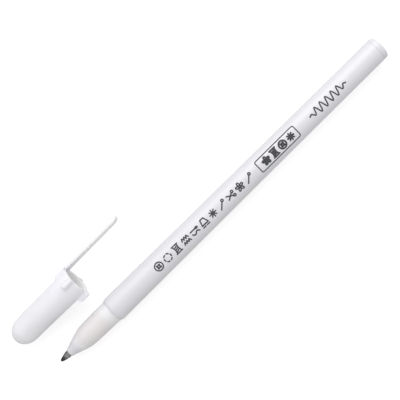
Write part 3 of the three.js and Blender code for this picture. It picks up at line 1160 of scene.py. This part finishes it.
@dataclass(frozen=True)
class Nose:
    """Frosted nose section, from its front rim to the spigot inside the barrel."""

    start: float = 3.72
    front_radius: float = 1.35
    cone_length: float = 4.9
    cone_radius: float = 2.97
    shoulder: float = 9.3
    shoulder_radius: float = 3.69
    length: float = 18.65
    rear_radius: float = 3.92
    wall: float = 0.75
    point_bore: float = 1.2
    bore: float = 2.95
    spigot_length: float = 8.6
    spigot_radius: float = 3.45
    bead_offset: float = 5.5
    bead_half: float = 0.4
    bead_height: float = 0.12
    joint: float = 0.02

    def corners(self) -> list[Corner]:
        """Profile of the nose.

        A cone runs into a slow taper through a parabola whose corner is where the two lines meet. The spigot
        behind has a snap bead, and the bore follows the cone at an even wall.

        Returns:
            The closed profile.
        """
        slope = (self.cone_radius - self.front_radius) / self.cone_length
        first = np.array([self.start + self.cone_length, self.cone_radius])
        last = np.array([self.start + self.shoulder, self.shoulder_radius])
        rear = (self.rear_radius - self.shoulder_radius) / (self.length - self.shoulder)
        x = (last[1] - first[1] + slope * first[0] - rear * last[0]) / (slope - rear)
        meet = np.array([x, first[1] + slope * (x - first[0])])
        bend = parabola(first, meet, last, np.linspace(0.0, 1.0, 24)[:, None])
        end = self.start + self.length
        bead, spigot_end = end + self.bead_offset, end + self.spigot_length
        bore_start = self.start + (self.point_bore + self.wall - self.front_radius) / slope
        bore_full = bore_start + (self.bore - self.point_bore) / slope
        return [
            (self.start, self.front_radius, 0.12), *((a, r, 0.0) for a, r in bend),
            (end - self.joint, self.rear_radius, 0.03), (end - self.joint, self.spigot_radius, 0.0),
            (bead - self.bead_half, self.spigot_radius, 0.1), (bead, self.spigot_radius + self.bead_height, 0.2),
            (bead + self.bead_half, self.spigot_radius, 0.1), (spigot_end, self.spigot_radius, 0.15),
            (spigot_end, self.bore, 0.1), (bore_full, self.bore, 1.2), (bore_start, self.point_bore, 0.1),
            (self.start, self.point_bore, 0.03)]

    def build(self, place: Place, shop: Workshop) -> None:
        """Makes the nose."""
        nose = turned_piece("nose_cone", place, self.corners(), FROSTED_NOSE.build(shop, place), columns=128)
        seat(nose, Body.PEN, Slot.NOSE, "nose_section")


@dataclass(frozen=True)
class WritingPoint:
    """Steel point with its crimped lip, the ball in it and the spring behind it."""

    ball_radius: float = 0.35
    ball_show: float = 0.22
    play: float = 0.015
    lip_wall: float = 0.09
    radius: float = 1.15
    cone_length: float = 2.65
    bulge: float = 0.1
    length: float = 11.6
    duct: float = 0.2
    duct_length: float = 0.7
    channel: float = 0.5
    channel_taper: float = 0.5
    groove_from: float = 0.35
    groove_width: float = 0.2
    groove_depth: float = 0.05
    crimp: float = 0.3
    crimp_length: float = 0.3
    # painted dark reflection: reach of the darkened band on each side of the tip
    painted_dark_length: float = 1.9

    def corners(self) -> list[Corner]:
        """Profile of the point: lip, swelling cone, a fine groove, shank, channel, duct and the ball's cup.

        The cone is a parabola whose corner is half way along it, out by the bulge. The cup is an arc about the
        ball's middle, between the angles at which its radius is the duct's and the lip's.

        Returns:
            The closed profile.
        """
        socket = self.ball_radius + self.play
        lip = math.sqrt(socket**2 - (self.ball_radius - self.ball_show) ** 2)
        low, high = math.asin(self.duct / socket), math.pi - math.asin(lip / socket)
        cup = [(self.ball_radius + socket * math.cos(a), socket * math.sin(a), 0.0) for a in np.linspace(low, high, 12)]
        first = np.array([self.ball_show, lip + self.lip_wall])
        last = np.array([self.ball_show + self.cone_length, self.radius])
        middle = (first + last) / 2 + [0.0, self.bulge]
        cone = parabola(first, middle, last, np.linspace(0.0, 1.0, 16)[:, None])
        duct_end, end = cup[0][0] + self.duct_length, self.ball_show + self.length
        groove, sunk = last[0] + self.groove_from, self.radius - self.groove_depth
        crimp_start = end - self.crimp_length
        return [
            *((a, r, 0.0) for a, r in cone), (groove, self.radius, 0.04), (groove + self.groove_depth, sunk, 0.02),
            (groove + self.groove_width - self.groove_depth, sunk, 0.02),
            (groove + self.groove_width, self.radius, 0.04), (end, self.radius, 0.15), (end, self.crimp, 0.05),
            (crimp_start, self.crimp, 0.0), (crimp_start, self.channel, 0.0),
            (duct_end + self.channel_taper, self.channel, 0.1), (duct_end, self.duct, 0.0), *cup]

    def ball(self, place: Place, finish: Material) -> Object:
        """Makes the ball: half a circle turned about the axis.

        Args:
            place: The pen's place.
            finish: The material.

        Returns:
            The ball.
        """
        angle = np.linspace(math.pi, 0.0, 33)
        profile = np.stack([self.ball_radius * (1 + np.cos(angle)), self.ball_radius * np.sin(angle)], axis=1)
        return make_piece("carbide_ball", [turned(place, profile, ring=False, columns=64)], finish)

    def build(self, place: Place, shop: Workshop) -> None:
        """Makes the point and the ball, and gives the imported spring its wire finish.

        Args:
            place: The pen's place.
            shop: The shared node groups.
        """
        # painted dark reflection: the point is darkened in a band about the tip
        tip = float(place.origin[0])
        painted_dark_span = (tip - self.painted_dark_length * MM, tip + self.painted_dark_length * MM)
        finish = replace(DARK_STEEL, painted_dark_span=painted_dark_span).build(shop)
        seat(turned_piece("steel_point", place, self.corners(), finish), Body.PEN, Slot.POINT, "metal_point")
        seat(self.ball(place, BALL_CARBIDE.build(shop)), Body.BALL, Slot.BALL, "writing_ball")
        spring = frame["nodes"]["ball_spring"]
        spring.data.materials.clear()
        spring.data.materials.append(SPRING_WIRE.build(shop))


@dataclass(frozen=True)
class Refill:
    """What is inside the pen: the holder behind the point, the ink tube, the ink and the grease that follows it."""

    holder_start: float = 6.49
    holder_front: float = 1.45
    holder_radius: float = 2.6
    holder_length: float = 12.7
    flange: float = 1.0
    plug: float = 2.25
    plug_length: float = 5.8
    tube_radius: float = 2.75
    tube_bore: float = 2.3
    tube_gap: float = 0.06
    tube_end: float = 130.85
    gap: float = 0.05
    ink_length: float = 86.0
    follower_length: float = 6.0
    dish: float = 0.8
    dish_rim: float = 0.6
    slope: float = 0.3306
    bore: float = 1.2
    shank_end: float = 11.87
    channel: float = 0.8

    @property
    def shoulder(self) -> float:
        """Where the holder's flange ends and its plug starts."""
        return self.holder_start + self.holder_length

    def holder(self, place: Place, finish: Material) -> Object:
        """Makes the holder: a nose that follows the inside of the cone, a flange, and a plug that goes in the tube.

        Args:
            place: The pen's place.
            finish: The material.

        Returns:
            The holder.
        """
        cone_end = self.holder_start + (self.holder_radius - self.holder_front) / self.slope
        end, flange = self.shoulder + self.plug_length, self.shoulder - self.flange
        corners = [
            (self.holder_start, self.holder_front, 0.1), (cone_end, self.holder_radius, 0.5),
            (flange, self.holder_radius, 0.0), (flange, self.tube_radius, 0.08),
            (self.shoulder, self.tube_radius, 0.08), (self.shoulder, self.plug, 0.0), (end, self.plug, 0.3),
            (end, self.channel, 0.1), (self.shank_end, self.channel, 0.0), (self.shank_end, self.bore, 0.0),
            (self.holder_start, self.bore, 0.05)]
        return turned_piece("point_holder", place, corners, finish, columns=72)

    def build(self, place: Place, shop: Workshop) -> None:
        """Makes the holder, the tube, the ink and the follower.

        Args:
            place: The pen's place.
            shop: The shared node groups.
        """
        seat(self.holder(place, MILKY_HOLDER.build(shop)), Body.PEN, Slot.HOLDER, "tip_holder")
        tube_start = self.shoulder + self.tube_gap
        tube = [(tube_start, self.tube_radius, 0.1), (self.tube_end, self.tube_radius, 0.1),
                (self.tube_end, self.tube_bore, 0.05), (tube_start, self.tube_bore, 0.05)]
        seat(turned_piece("clear_tube", place, tube, MILKY_TUBE.build(shop), columns=72),
             Body.PEN, Slot.TUBE, "ink_tube")
        start = self.shoulder + self.plug_length + self.gap
        end = start + self.ink_length
        ink = [(start, 0.0, 0.0), (start, self.plug, 0.1), (end, self.plug, 0.1), (end, 0.0, 0.0)]
        charge = turned_piece("white_ink", place, ink, WHITE_INK.build(shop), ring=False, columns=64)
        seat(charge, Body.PEN, Slot.INK, "ink_charge")
        anchor = tuple(float(v) for v in place.at(start, 0.0, 0.0))
        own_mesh(charge)
        begin, rear = end + self.gap, end + self.gap + self.follower_length
        gel = [(begin, 0.0, 0.0), (begin, self.plug, 0.2), (rear, self.plug, 0.2),
               (rear - self.dish_rim, self.plug / 2, 0.6), (rear - self.dish, 0.0, 0.0)]
        seat(turned_piece("grease_plug", place, gel, FOLLOWER_GEL.build(shop), ring=False, columns=64),
             Body.FOLLOWER, Slot.GREASE, "ink_follower")


@dataclass(frozen=True)
class Cap:
    """The cap: domed shell with three lugs and the clip, moulded in one, and the seal in its closed end.

    The edges named for a lug, the root or the crown are how far two faces are rounded into each other. The fans
    are the angles in degrees, first, last and step, of the columns that follow a lug's sides and the root's. Lap is
    how far a surface starts past an edge that it meets.
    """

    length: float = 27.3
    dome_length: float = 5.2
    dome_radius: float = 4.43
    mouth_radius: float = 4.75
    mouth_edge: float = 0.2
    bore_radius: float = 3.99
    bore_taper: float = 0.27
    end_wall: float = 1.25
    dome_wall: float = 0.8
    lead_in: float = 0.3
    seal_radius: float = 1.8
    seal_length: float = 3.68
    seal_gap: float = 0.05
    seal_dish: float = 0.15
    seal_dish_share: float = 0.6
    socket_wall: float = 0.7
    seal_show: float = 0.7
    lug_reach: float = 6.3
    lug_core: float = 4.25
    lug_half: float = 0.9
    lug_taper: float = 0.24
    lug_round: float = 1.25
    lug_length: float = 3.9
    lug_slope: float = 2.6
    lug_within: float = 1.2
    lug_edge: float = 0.15
    lug_foot: float = 0.4
    lug_fan: Triple = (-14.0, 14.01, 0.45)
    root_length: float = 4.5
    root_slope: float = 2.0
    root_within: float = 1.4
    root_edge: float = 0.12
    root_foot: float = 0.3
    root_fan: Triple = (18.0, 34.01, 0.5)
    ramp_edge: float = 0.3
    ramps: Span = (22.2, 24.6)
    column_step: float = 3.0
    column_grid: float = 0.2
    clip_inner: float = 4.41
    clip_thickness: float = 1.05
    clip_half: float = 2.3
    clip_tip_half: float = 1.9
    clip_crown: float = 0.3
    clip_crown_edge: float = 0.5
    clip_edge: float = 0.16
    clip_close: float = 0.18
    clip_reach: float = 22.9
    clip_fade: float = 7.0
    flare_length: float = 2.4
    flare: float = 0.6
    hinge_gap: float = 0.1
    bend_length: float = 4.0
    mark_margin: float = 0.05
    lap: float = 0.01

    @property
    def hinge(self) -> Span:
        """Place of the clip's hinge: distance from the closed end, and from the axis."""
        return self.length + self.hinge_gap + self.clip_thickness / 2, self.clip_inner + self.clip_thickness / 2

    @staticmethod
    def off_middle(angle: Array, middle: float) -> Array:
        """Angles from a middle, the short way round."""
        return np.abs((angle - middle + math.pi) % TURN - math.pi)

    def wall(self, x: Array) -> Array:
        """Radius of the plain wall: half an ellipse for the dome and then a slight cone.

        Args:
            x: Distances from the closed end.

        Returns:
            The radius at each.
        """
        along = np.clip(x / self.dome_length, 0.0, 1.0)
        dome = self.dome_radius * np.sqrt(1 - (1 - along) ** 2)
        draft = (self.mouth_radius - self.dome_radius) / (self.length - self.dome_length)
        return dome + draft * np.clip(x - self.dome_length, 0.0, None)

    def lug(self, off: Array, rise: Array) -> Array:
        """Radius of a lug: the smaller of its sides, its outer face and its ramp.

        The sides close in as they run out: a point on them is as far from the lug's middle plane as half its
        width less the taper times the distance past the wall. The outer face is an ellipse about a point inside
        the wall, and its radius at each angle is the larger root of the ellipse's equation in polar form.

        Args:
            off: Angles from the lug's middle.
            rise: Radius of the ramp.

        Returns:
            The radius at each.
        """
        wide = self.lug_half + self.lug_taper * self.mouth_radius
        reach = wide / (np.maximum(np.sin(off), LEAST_SINE) + self.lug_taper * np.cos(off))
        sides = np.where(off < self.lug_within, reach, 0.0)
        core, span = self.lug_core, self.lug_reach - self.lug_core
        bend = 1 / span**2 + (np.sin(off) / self.lug_round) ** 2
        gap = (core / span**2) ** 2 - bend * ((core / span) ** 2 - 1)
        face = (core / span**2 + np.sqrt(np.maximum(gap, 0.0))) / bend
        return smooth_min(smooth_min(sides, face, self.lug_edge), rise, self.ramp_edge)

    def root(self, off: Array, rise: Array) -> Array:
        """Radius of the clip's root: the smaller of its crowned face, its sides and its ramp.

        The crowned face is the smaller of the clip's outer plane over the cosine of the angle and of a plane that
        slopes in to the crown at the edge. The sides are the half-width over the sine.

        Args:
            off: Angles from the clip's middle.
            rise: Radius of the ramp.

        Returns:
            The radius at each.
        """
        face = self.clip_inner + self.clip_thickness
        slope = 2 * self.clip_crown / self.clip_half
        cosine, sine = np.maximum(np.cos(off), LEAST_COSINE), np.maximum(np.sin(off), LEAST_SINE)
        crowned = np.minimum(face / cosine, (face + self.clip_crown) / (cosine + slope * sine))
        plane = np.where(off < self.lug_within, crowned, 0.0)
        sides = np.where(off < self.root_within, self.clip_half / sine, 0.0)
        return smooth_min(smooth_min(plane, sides, self.root_edge), rise, self.ramp_edge)

    def outer_radius(self, x: Array, angle: Array) -> Array:
        """Radius of the cap's outside: the wall, joined to its lugs and to the clip's root by a rounded maximum.

        Each lug and the root rise along x on a steep ramp: the wall plus a slope times the distance from where
        they start.

        Args:
            x: Distances from the closed end.
            angle: Angles from the clip's side.

        Returns:
            The radius at each.
        """
        wall = self.wall(x)
        radius = wall + np.zeros_like(angle)
        ramp = wall + (x - (self.length - self.lug_length)) * self.lug_slope
        for middle in (QUARTER, math.pi, 3 * math.pi / 2):
            radius = smooth_max(radius, self.lug(self.off_middle(angle, middle), ramp), self.lug_foot)
        ramp = wall + (x - (self.length - self.root_length)) * self.root_slope
        root = self.root(self.off_middle(angle, 0.0), ramp)
        return np.where(x > self.dome_length, smooth_max(radius, root, self.root_foot), wall)

    def columns(self) -> Array:
        """Angles of the columns: evenly spaced, and closer across each side of a lug and of the root.

        Returns:
            The angles in radians, in order.
        """
        fine = [np.arange(*self.lug_fan) + middle for middle in (90.0, 180.0, 270.0)]
        root = [sign * np.arange(*self.root_fan) for sign in (-1, 1)]
        angle = np.concatenate([*fine, *root, np.arange(0.0, 360.0, self.column_step)]) % 360
        return np.radians(np.unique(np.round(angle / self.column_grid) * self.column_grid))

    def inside(self) -> Array:
        """Profile of the cap's inside, from the mouth by the bore and the seal's socket to the axis.

        Returns:
            Its points.
        """
        mouth, lip = self.length, self.bore_radius + self.lead_in
        pocket = self.seal_radius + self.seal_gap
        rim, trench = self.end_wall + self.seal_length - self.seal_show, pocket + self.socket_wall
        bore_start = self.dome_length + self.dome_wall / 2
        return softened([
            (mouth, lip + self.lap, 0.0), (mouth, lip, 0.08), (mouth - self.lead_in, self.bore_radius, 0.15),
            (bore_start, self.bore_radius - self.bore_taper, 0.6),
            (bore_start - 2 * self.dome_wall, self.dome_radius - 1.5 * self.dome_wall, 0.5),
            (rim - self.socket_wall, trench, 0.15), (rim, trench, 0.12), (rim, pocket, 0.1),
            (self.end_wall, pocket, 0.0), (self.end_wall, 0.0, 0.0)], ring=False)

    def shell(self, place: Place) -> Skin:
        """Surface of the cap: outside, rounded mouth and inside, closed at both ends of the axis.

        Rows are close together where the lugs and the root rise. The mouth's edge is a quarter circle.

        Args:
            place: The cap's place.

        Returns:
            The skin.
        """
        angle = self.columns()[None, :]
        mouth, (ramp_start, ramp_end) = self.length, self.ramps
        x = np.concatenate([
            self.dome_length * (1 - np.cos(np.linspace(0.0, QUARTER, 26))),
            np.linspace(self.dome_length, ramp_start, 14)[1:], np.linspace(ramp_start, ramp_end, 30)[1:],
            np.linspace(ramp_end, mouth - self.mouth_edge, 8)[1:]])[:, None]
        outside = self.outer_radius(x, angle)
        turn = np.linspace(0.0, QUARTER, 7)[1:, None]
        edge = self.outer_radius(np.full_like(turn, mouth), angle) - self.mouth_edge * (1 - np.cos(turn))
        edge_x = mouth - self.mouth_edge * (1 - np.sin(turn))
        inner = self.inside()
        bore = np.broadcast_to(inner[:, 1:], (len(inner), angle.size))
        along = np.concatenate([x, edge_x, inner[:, :1]])
        radius = np.concatenate([outside, edge, bore])
        return Skin(place.at(along, radius * np.cos(angle), radius * np.sin(angle)))

    def clip(self, place: Place) -> Skin:
        """Surface of the clip: a rounded rectangle, crowned across, carried along its middle line.

        The middle line is straight and then curves out as a parabola. The half-width narrows evenly and ends in a
        half circle, and the thickness closes in a quarter ellipse at the very end. The middle half of the section
        is flat, and on each side of that it bends in evenly to the crown at its edge.

        Args:
            place: The cap's place.

        Returns:
            The skin.
        """
        tip = self.length + self.clip_reach
        turn = np.linspace(0.0, QUARTER, 22)
        round_start = tip - self.clip_tip_half
        x = np.concatenate([[self.length - self.lap], np.linspace(self.length, round_start, 60)[:-1],
                            round_start + self.clip_tip_half * np.sin(turn)])
        share = np.clip((x - self.length) / (round_start - self.length), 0.0, 1.0)
        half = self.clip_half + (self.clip_tip_half - self.clip_half) * share
        past = np.clip(x - round_start, 0.0, self.clip_tip_half)
        half = np.maximum(half * np.sqrt(1 - (past / self.clip_tip_half) ** 2), 0.0)
        bend = np.clip((x - (tip - self.flare_length)) / self.flare_length, 0.0, 1.0)
        middle = self.clip_inner + self.clip_thickness / 2 + self.flare * bend**2
        close = np.clip((tip - x) / self.clip_close, 0.0, 1.0)
        thick = self.clip_thickness / 2 * np.sqrt(1 - (1 - close) ** 2)
        corner = np.minimum(np.minimum(self.clip_edge, half), thick)[:, None]
        bent, between = np.linspace(0.0, QUARTER, 6), np.linspace(1.0, -1.0, 18)[1:-1]
        across = np.concatenate([np.ones(6), between, -np.ones(6)])
        arc = np.concatenate([bent, np.full(len(between), QUARTER), bent + QUARTER])
        out = np.repeat([1.0, -1.0], len(arc))
        across, arc = np.concatenate([across, -across]), np.concatenate([arc, arc + math.pi])
        z = across * (half[:, None] - corner) + corner * np.cos(arc)
        y = middle[:, None] + out * (thick[:, None] - corner) + corner * np.sin(arc)
        past_flat = 2 * np.abs(z) / self.clip_half - 1
        y = y - self.clip_crown * smooth_max(past_flat, np.zeros_like(z), self.clip_crown_edge)
        points = place.at(x[:, None], y, z)
        root = points[:1].mean(axis=1, keepdims=True)
        return Skin(np.concatenate([np.broadcast_to(root, points[:1].shape), points]))

    def seal(self, place: Place, finish: Material) -> Object:
        """Makes the seal: a soft plug with a dished face in the socket of the closed end.

        Args:
            place: The cap's place.
            finish: The material.

        Returns:
            The seal.
        """
        start, face = self.end_wall + self.seal_gap, self.end_wall + self.seal_length - self.seal_gap
        corners = [(start, 0.0, 0.0), (start, self.seal_radius, 0.1), (face, self.seal_radius, 0.18),
                   (face, self.seal_radius * self.seal_dish_share, 0.25), (face - self.seal_dish, 0.0, 0.0)]
        return turned_piece("soft_seal", place, corners, finish, ring=False, columns=64)

    def mark(self, moulding: Object, place: Place) -> None:
        """Marks how far each point of the moulding is along the clip or in the bore, by its place on the cap's axes,
        for the painted light.

        The clip's share rises evenly from nought at the mouth to one at clip_fade past it. The bore's is one for each
        point nearer the axis than the bore's wall, between the dome and the mouth.

        Args:
            moulding: The cap with its clip.
            place: The cap's place.
        """
        points = np.empty((len(moulding.data.vertices), 3), np.float32)
        moulding.data.vertices.foreach_get("co", points.ravel())
        x, y, z = np.stack([place.along, place.side, place.rise]) @ (points - place.origin).T / MM
        clip = np.clip((x - self.length) / self.clip_fade, 0.0, 1.0)
        near = np.hypot(y, z) < self.bore_radius + self.lead_in + self.mark_margin
        bore = near & (x > self.dome_length + self.dome_wall) & (x < self.length + self.mouth_edge)
        for region, share in ((Region.BORE, bore), (Region.CLIP, clip)):
            marks = moulding.data.attributes.new(region.value, "FLOAT", "POINT")
            marks.data.foreach_set("value", share.astype(np.float32))

    def build(self, place: Place, shop: Workshop) -> None:
        """Makes the cap with its clip as one moulding, and its seal.

        Args:
            place: The cap's place.
            shop: The shared node groups.
        """
        white = WHITE_CAP.build(shop)
        moulding = make_piece("cap_moulding", [self.shell(place), self.clip(place)], white, crease=46.0)
        self.mark(moulding, place)
        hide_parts("cap_shell", "clip")
        start, end = (tuple(float(v) for v in place.at(x, self.hinge[1], 0.0))
                      for x in (self.length, self.length + self.bend_length))
        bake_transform(moulding)
        log.info("%s bends from %s to %s", moulding.name, Body.CAP.value, Body.CLIP.value)
        seat(self.seal(place, SOFT_SEAL.build(shop)), Body.CAP, Slot.SEAL, "tip_seal")


@dataclass(frozen=True)
class Studio:
    """Pale floor, soft light from the cap's side and a camera straight overhead."""

    view_x: float = 66.25
    view_y: float = 5.34
    height: float = 350.0
    turn: float = -44.65
    lens: float = 100.8
    sensor: float = 36.0
    sight: Span = (0.01, 10.0)
    sky: float = 0.68
    key_power: float = 2.7
    key_size: Span = (0.90, 0.55)
    key_from: Triple = (0.35, 0.38, 0.43)
    floor_half: float = 1.5
    floor_tone: float = 0.6
    floor_glow: float = 0.62
    floor_gloss: float = 0.2

    def camera(self, place: Place) -> None:
        """Sets the camera over the pen, turned so that the pen runs up to the right.

        Args:
            place: The pen's place.
        """
        data = bpy.data.cameras.new("overhead")
        data.lens, data.sensor_width = self.lens, self.sensor
        data.clip_start, data.clip_end = self.sight
        camera = put_in_scene("overhead", data)
        camera.location = place.at(self.view_x, self.view_y, self.height)
        camera.rotation_euler = (0.0, 0.0, math.radians(self.turn))
        bpy.context.scene.camera = camera

    @staticmethod
    def seen(tree: Tree, straight: float, by_way: float) -> Socket:
        """Strength of a glow by the kind of ray that meets it, nought for those that light other pieces.

        Args:
            tree: The tree that it goes in.
            straight: Strength for rays from the camera.
            by_way: Strength for rays off a gloss or through a clear piece.

        Returns:
            The strength.
        """
        path = tree.add("ShaderNodeLightPath").outputs
        rays = tree.sum(path["Is Glossy Ray"], path["Is Transmission Ray"], Maths.MAXIMUM)
        return tree.sum(tree.times(path["Is Camera Ray"], straight), tree.times(rays, by_way), Maths.MAXIMUM)

    def floor(self) -> None:
        """Makes the white floor, which keeps the object's shadow."""
        half = self.floor_half
        mesh = bpy.data.meshes.new("floor")
        mesh.from_pydata([(-half, -half, 0.0), (half, -half, 0.0), (half, half, 0.0), (-half, half, 0.0)], [],
                         [(0, 1, 2, 3)])
        white = bpy.data.materials.new("floor_white")
        white.use_nodes = True
        tree = Tree(white.node_tree)
        out, both = tree.add("ShaderNodeOutputMaterial"), tree.add("ShaderNodeAddShader")
        paper = tree.feed(tree.add("ShaderNodeBsdfDiffuse"), Color=(*[self.floor_tone] * 3, 1.0))
        glow = tree.feed(tree.add("ShaderNodeEmission"), Strength=self.seen(tree, self.floor_glow, self.floor_gloss))
        for socket, part in zip(both.inputs, (paper, glow)):
            tree.fill(socket, part.outputs[0])
        tree.feed(out, Surface=both.outputs[0])
        mesh.materials.append(white)
        floor = put_in_scene("floor", mesh)

    def sky_light(self) -> None:
        """Lights the world evenly, and shows it as white."""
        world = bpy.data.worlds.new("studio")
        world.use_nodes = True
        tree = Tree(world.node_tree)
        strength = tree.sum(self.seen(tree, 1.0, 1.0), self.sky, Maths.MAXIMUM)
        sky = tree.feed(tree.add("ShaderNodeBackground"), Color=(1.0, 1.0, 1.0, 1.0), Strength=strength)
        tree.feed(tree.add("ShaderNodeOutputWorld"), Surface=sky.outputs[0])
        bpy.context.scene.world = world

    def key_light(self) -> None:
        """Sets a long soft lamp on the cap's side, lengthways along the pen and turned down to its axis."""
        data = bpy.data.lights.new("key", "AREA")
        data.shape, data.energy = "RECTANGLE", self.key_power
        data.size, data.size_y = self.key_size
        lamp = put_in_scene("key", data)
        lamp.location = self.key_from
        lamp.rotation_euler = (-math.atan2(self.key_from[1], self.key_from[2]), 0.0, 0.0)

    def build(self, place: Place) -> None:
        """Sets the whole studio.

        Args:
            place: The pen's place.
        """
        self.camera(place)
        self.floor()
        self.sky_light()
        self.key_light()
        bpy.context.scene.view_settings.view_transform = "Standard"


def main() -> None:
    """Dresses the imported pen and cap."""
    logging.basicConfig(level=logging.INFO, format="%(name)s: %(message)s")
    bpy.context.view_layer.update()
    shop = Workshop.open()
    cap = Cap()
    pen_at, cap_at = pen_place(), cap_place(*cap.hinge)
    Studio().build(pen_at)
    Barrel().build(pen_at, shop)
    Nose().build(pen_at, shop)
    WritingPoint().build(pen_at, shop)
    Refill().build(pen_at, shop)
    cap.build(cap_at, shop)


if __name__ == "__main__":
    main()
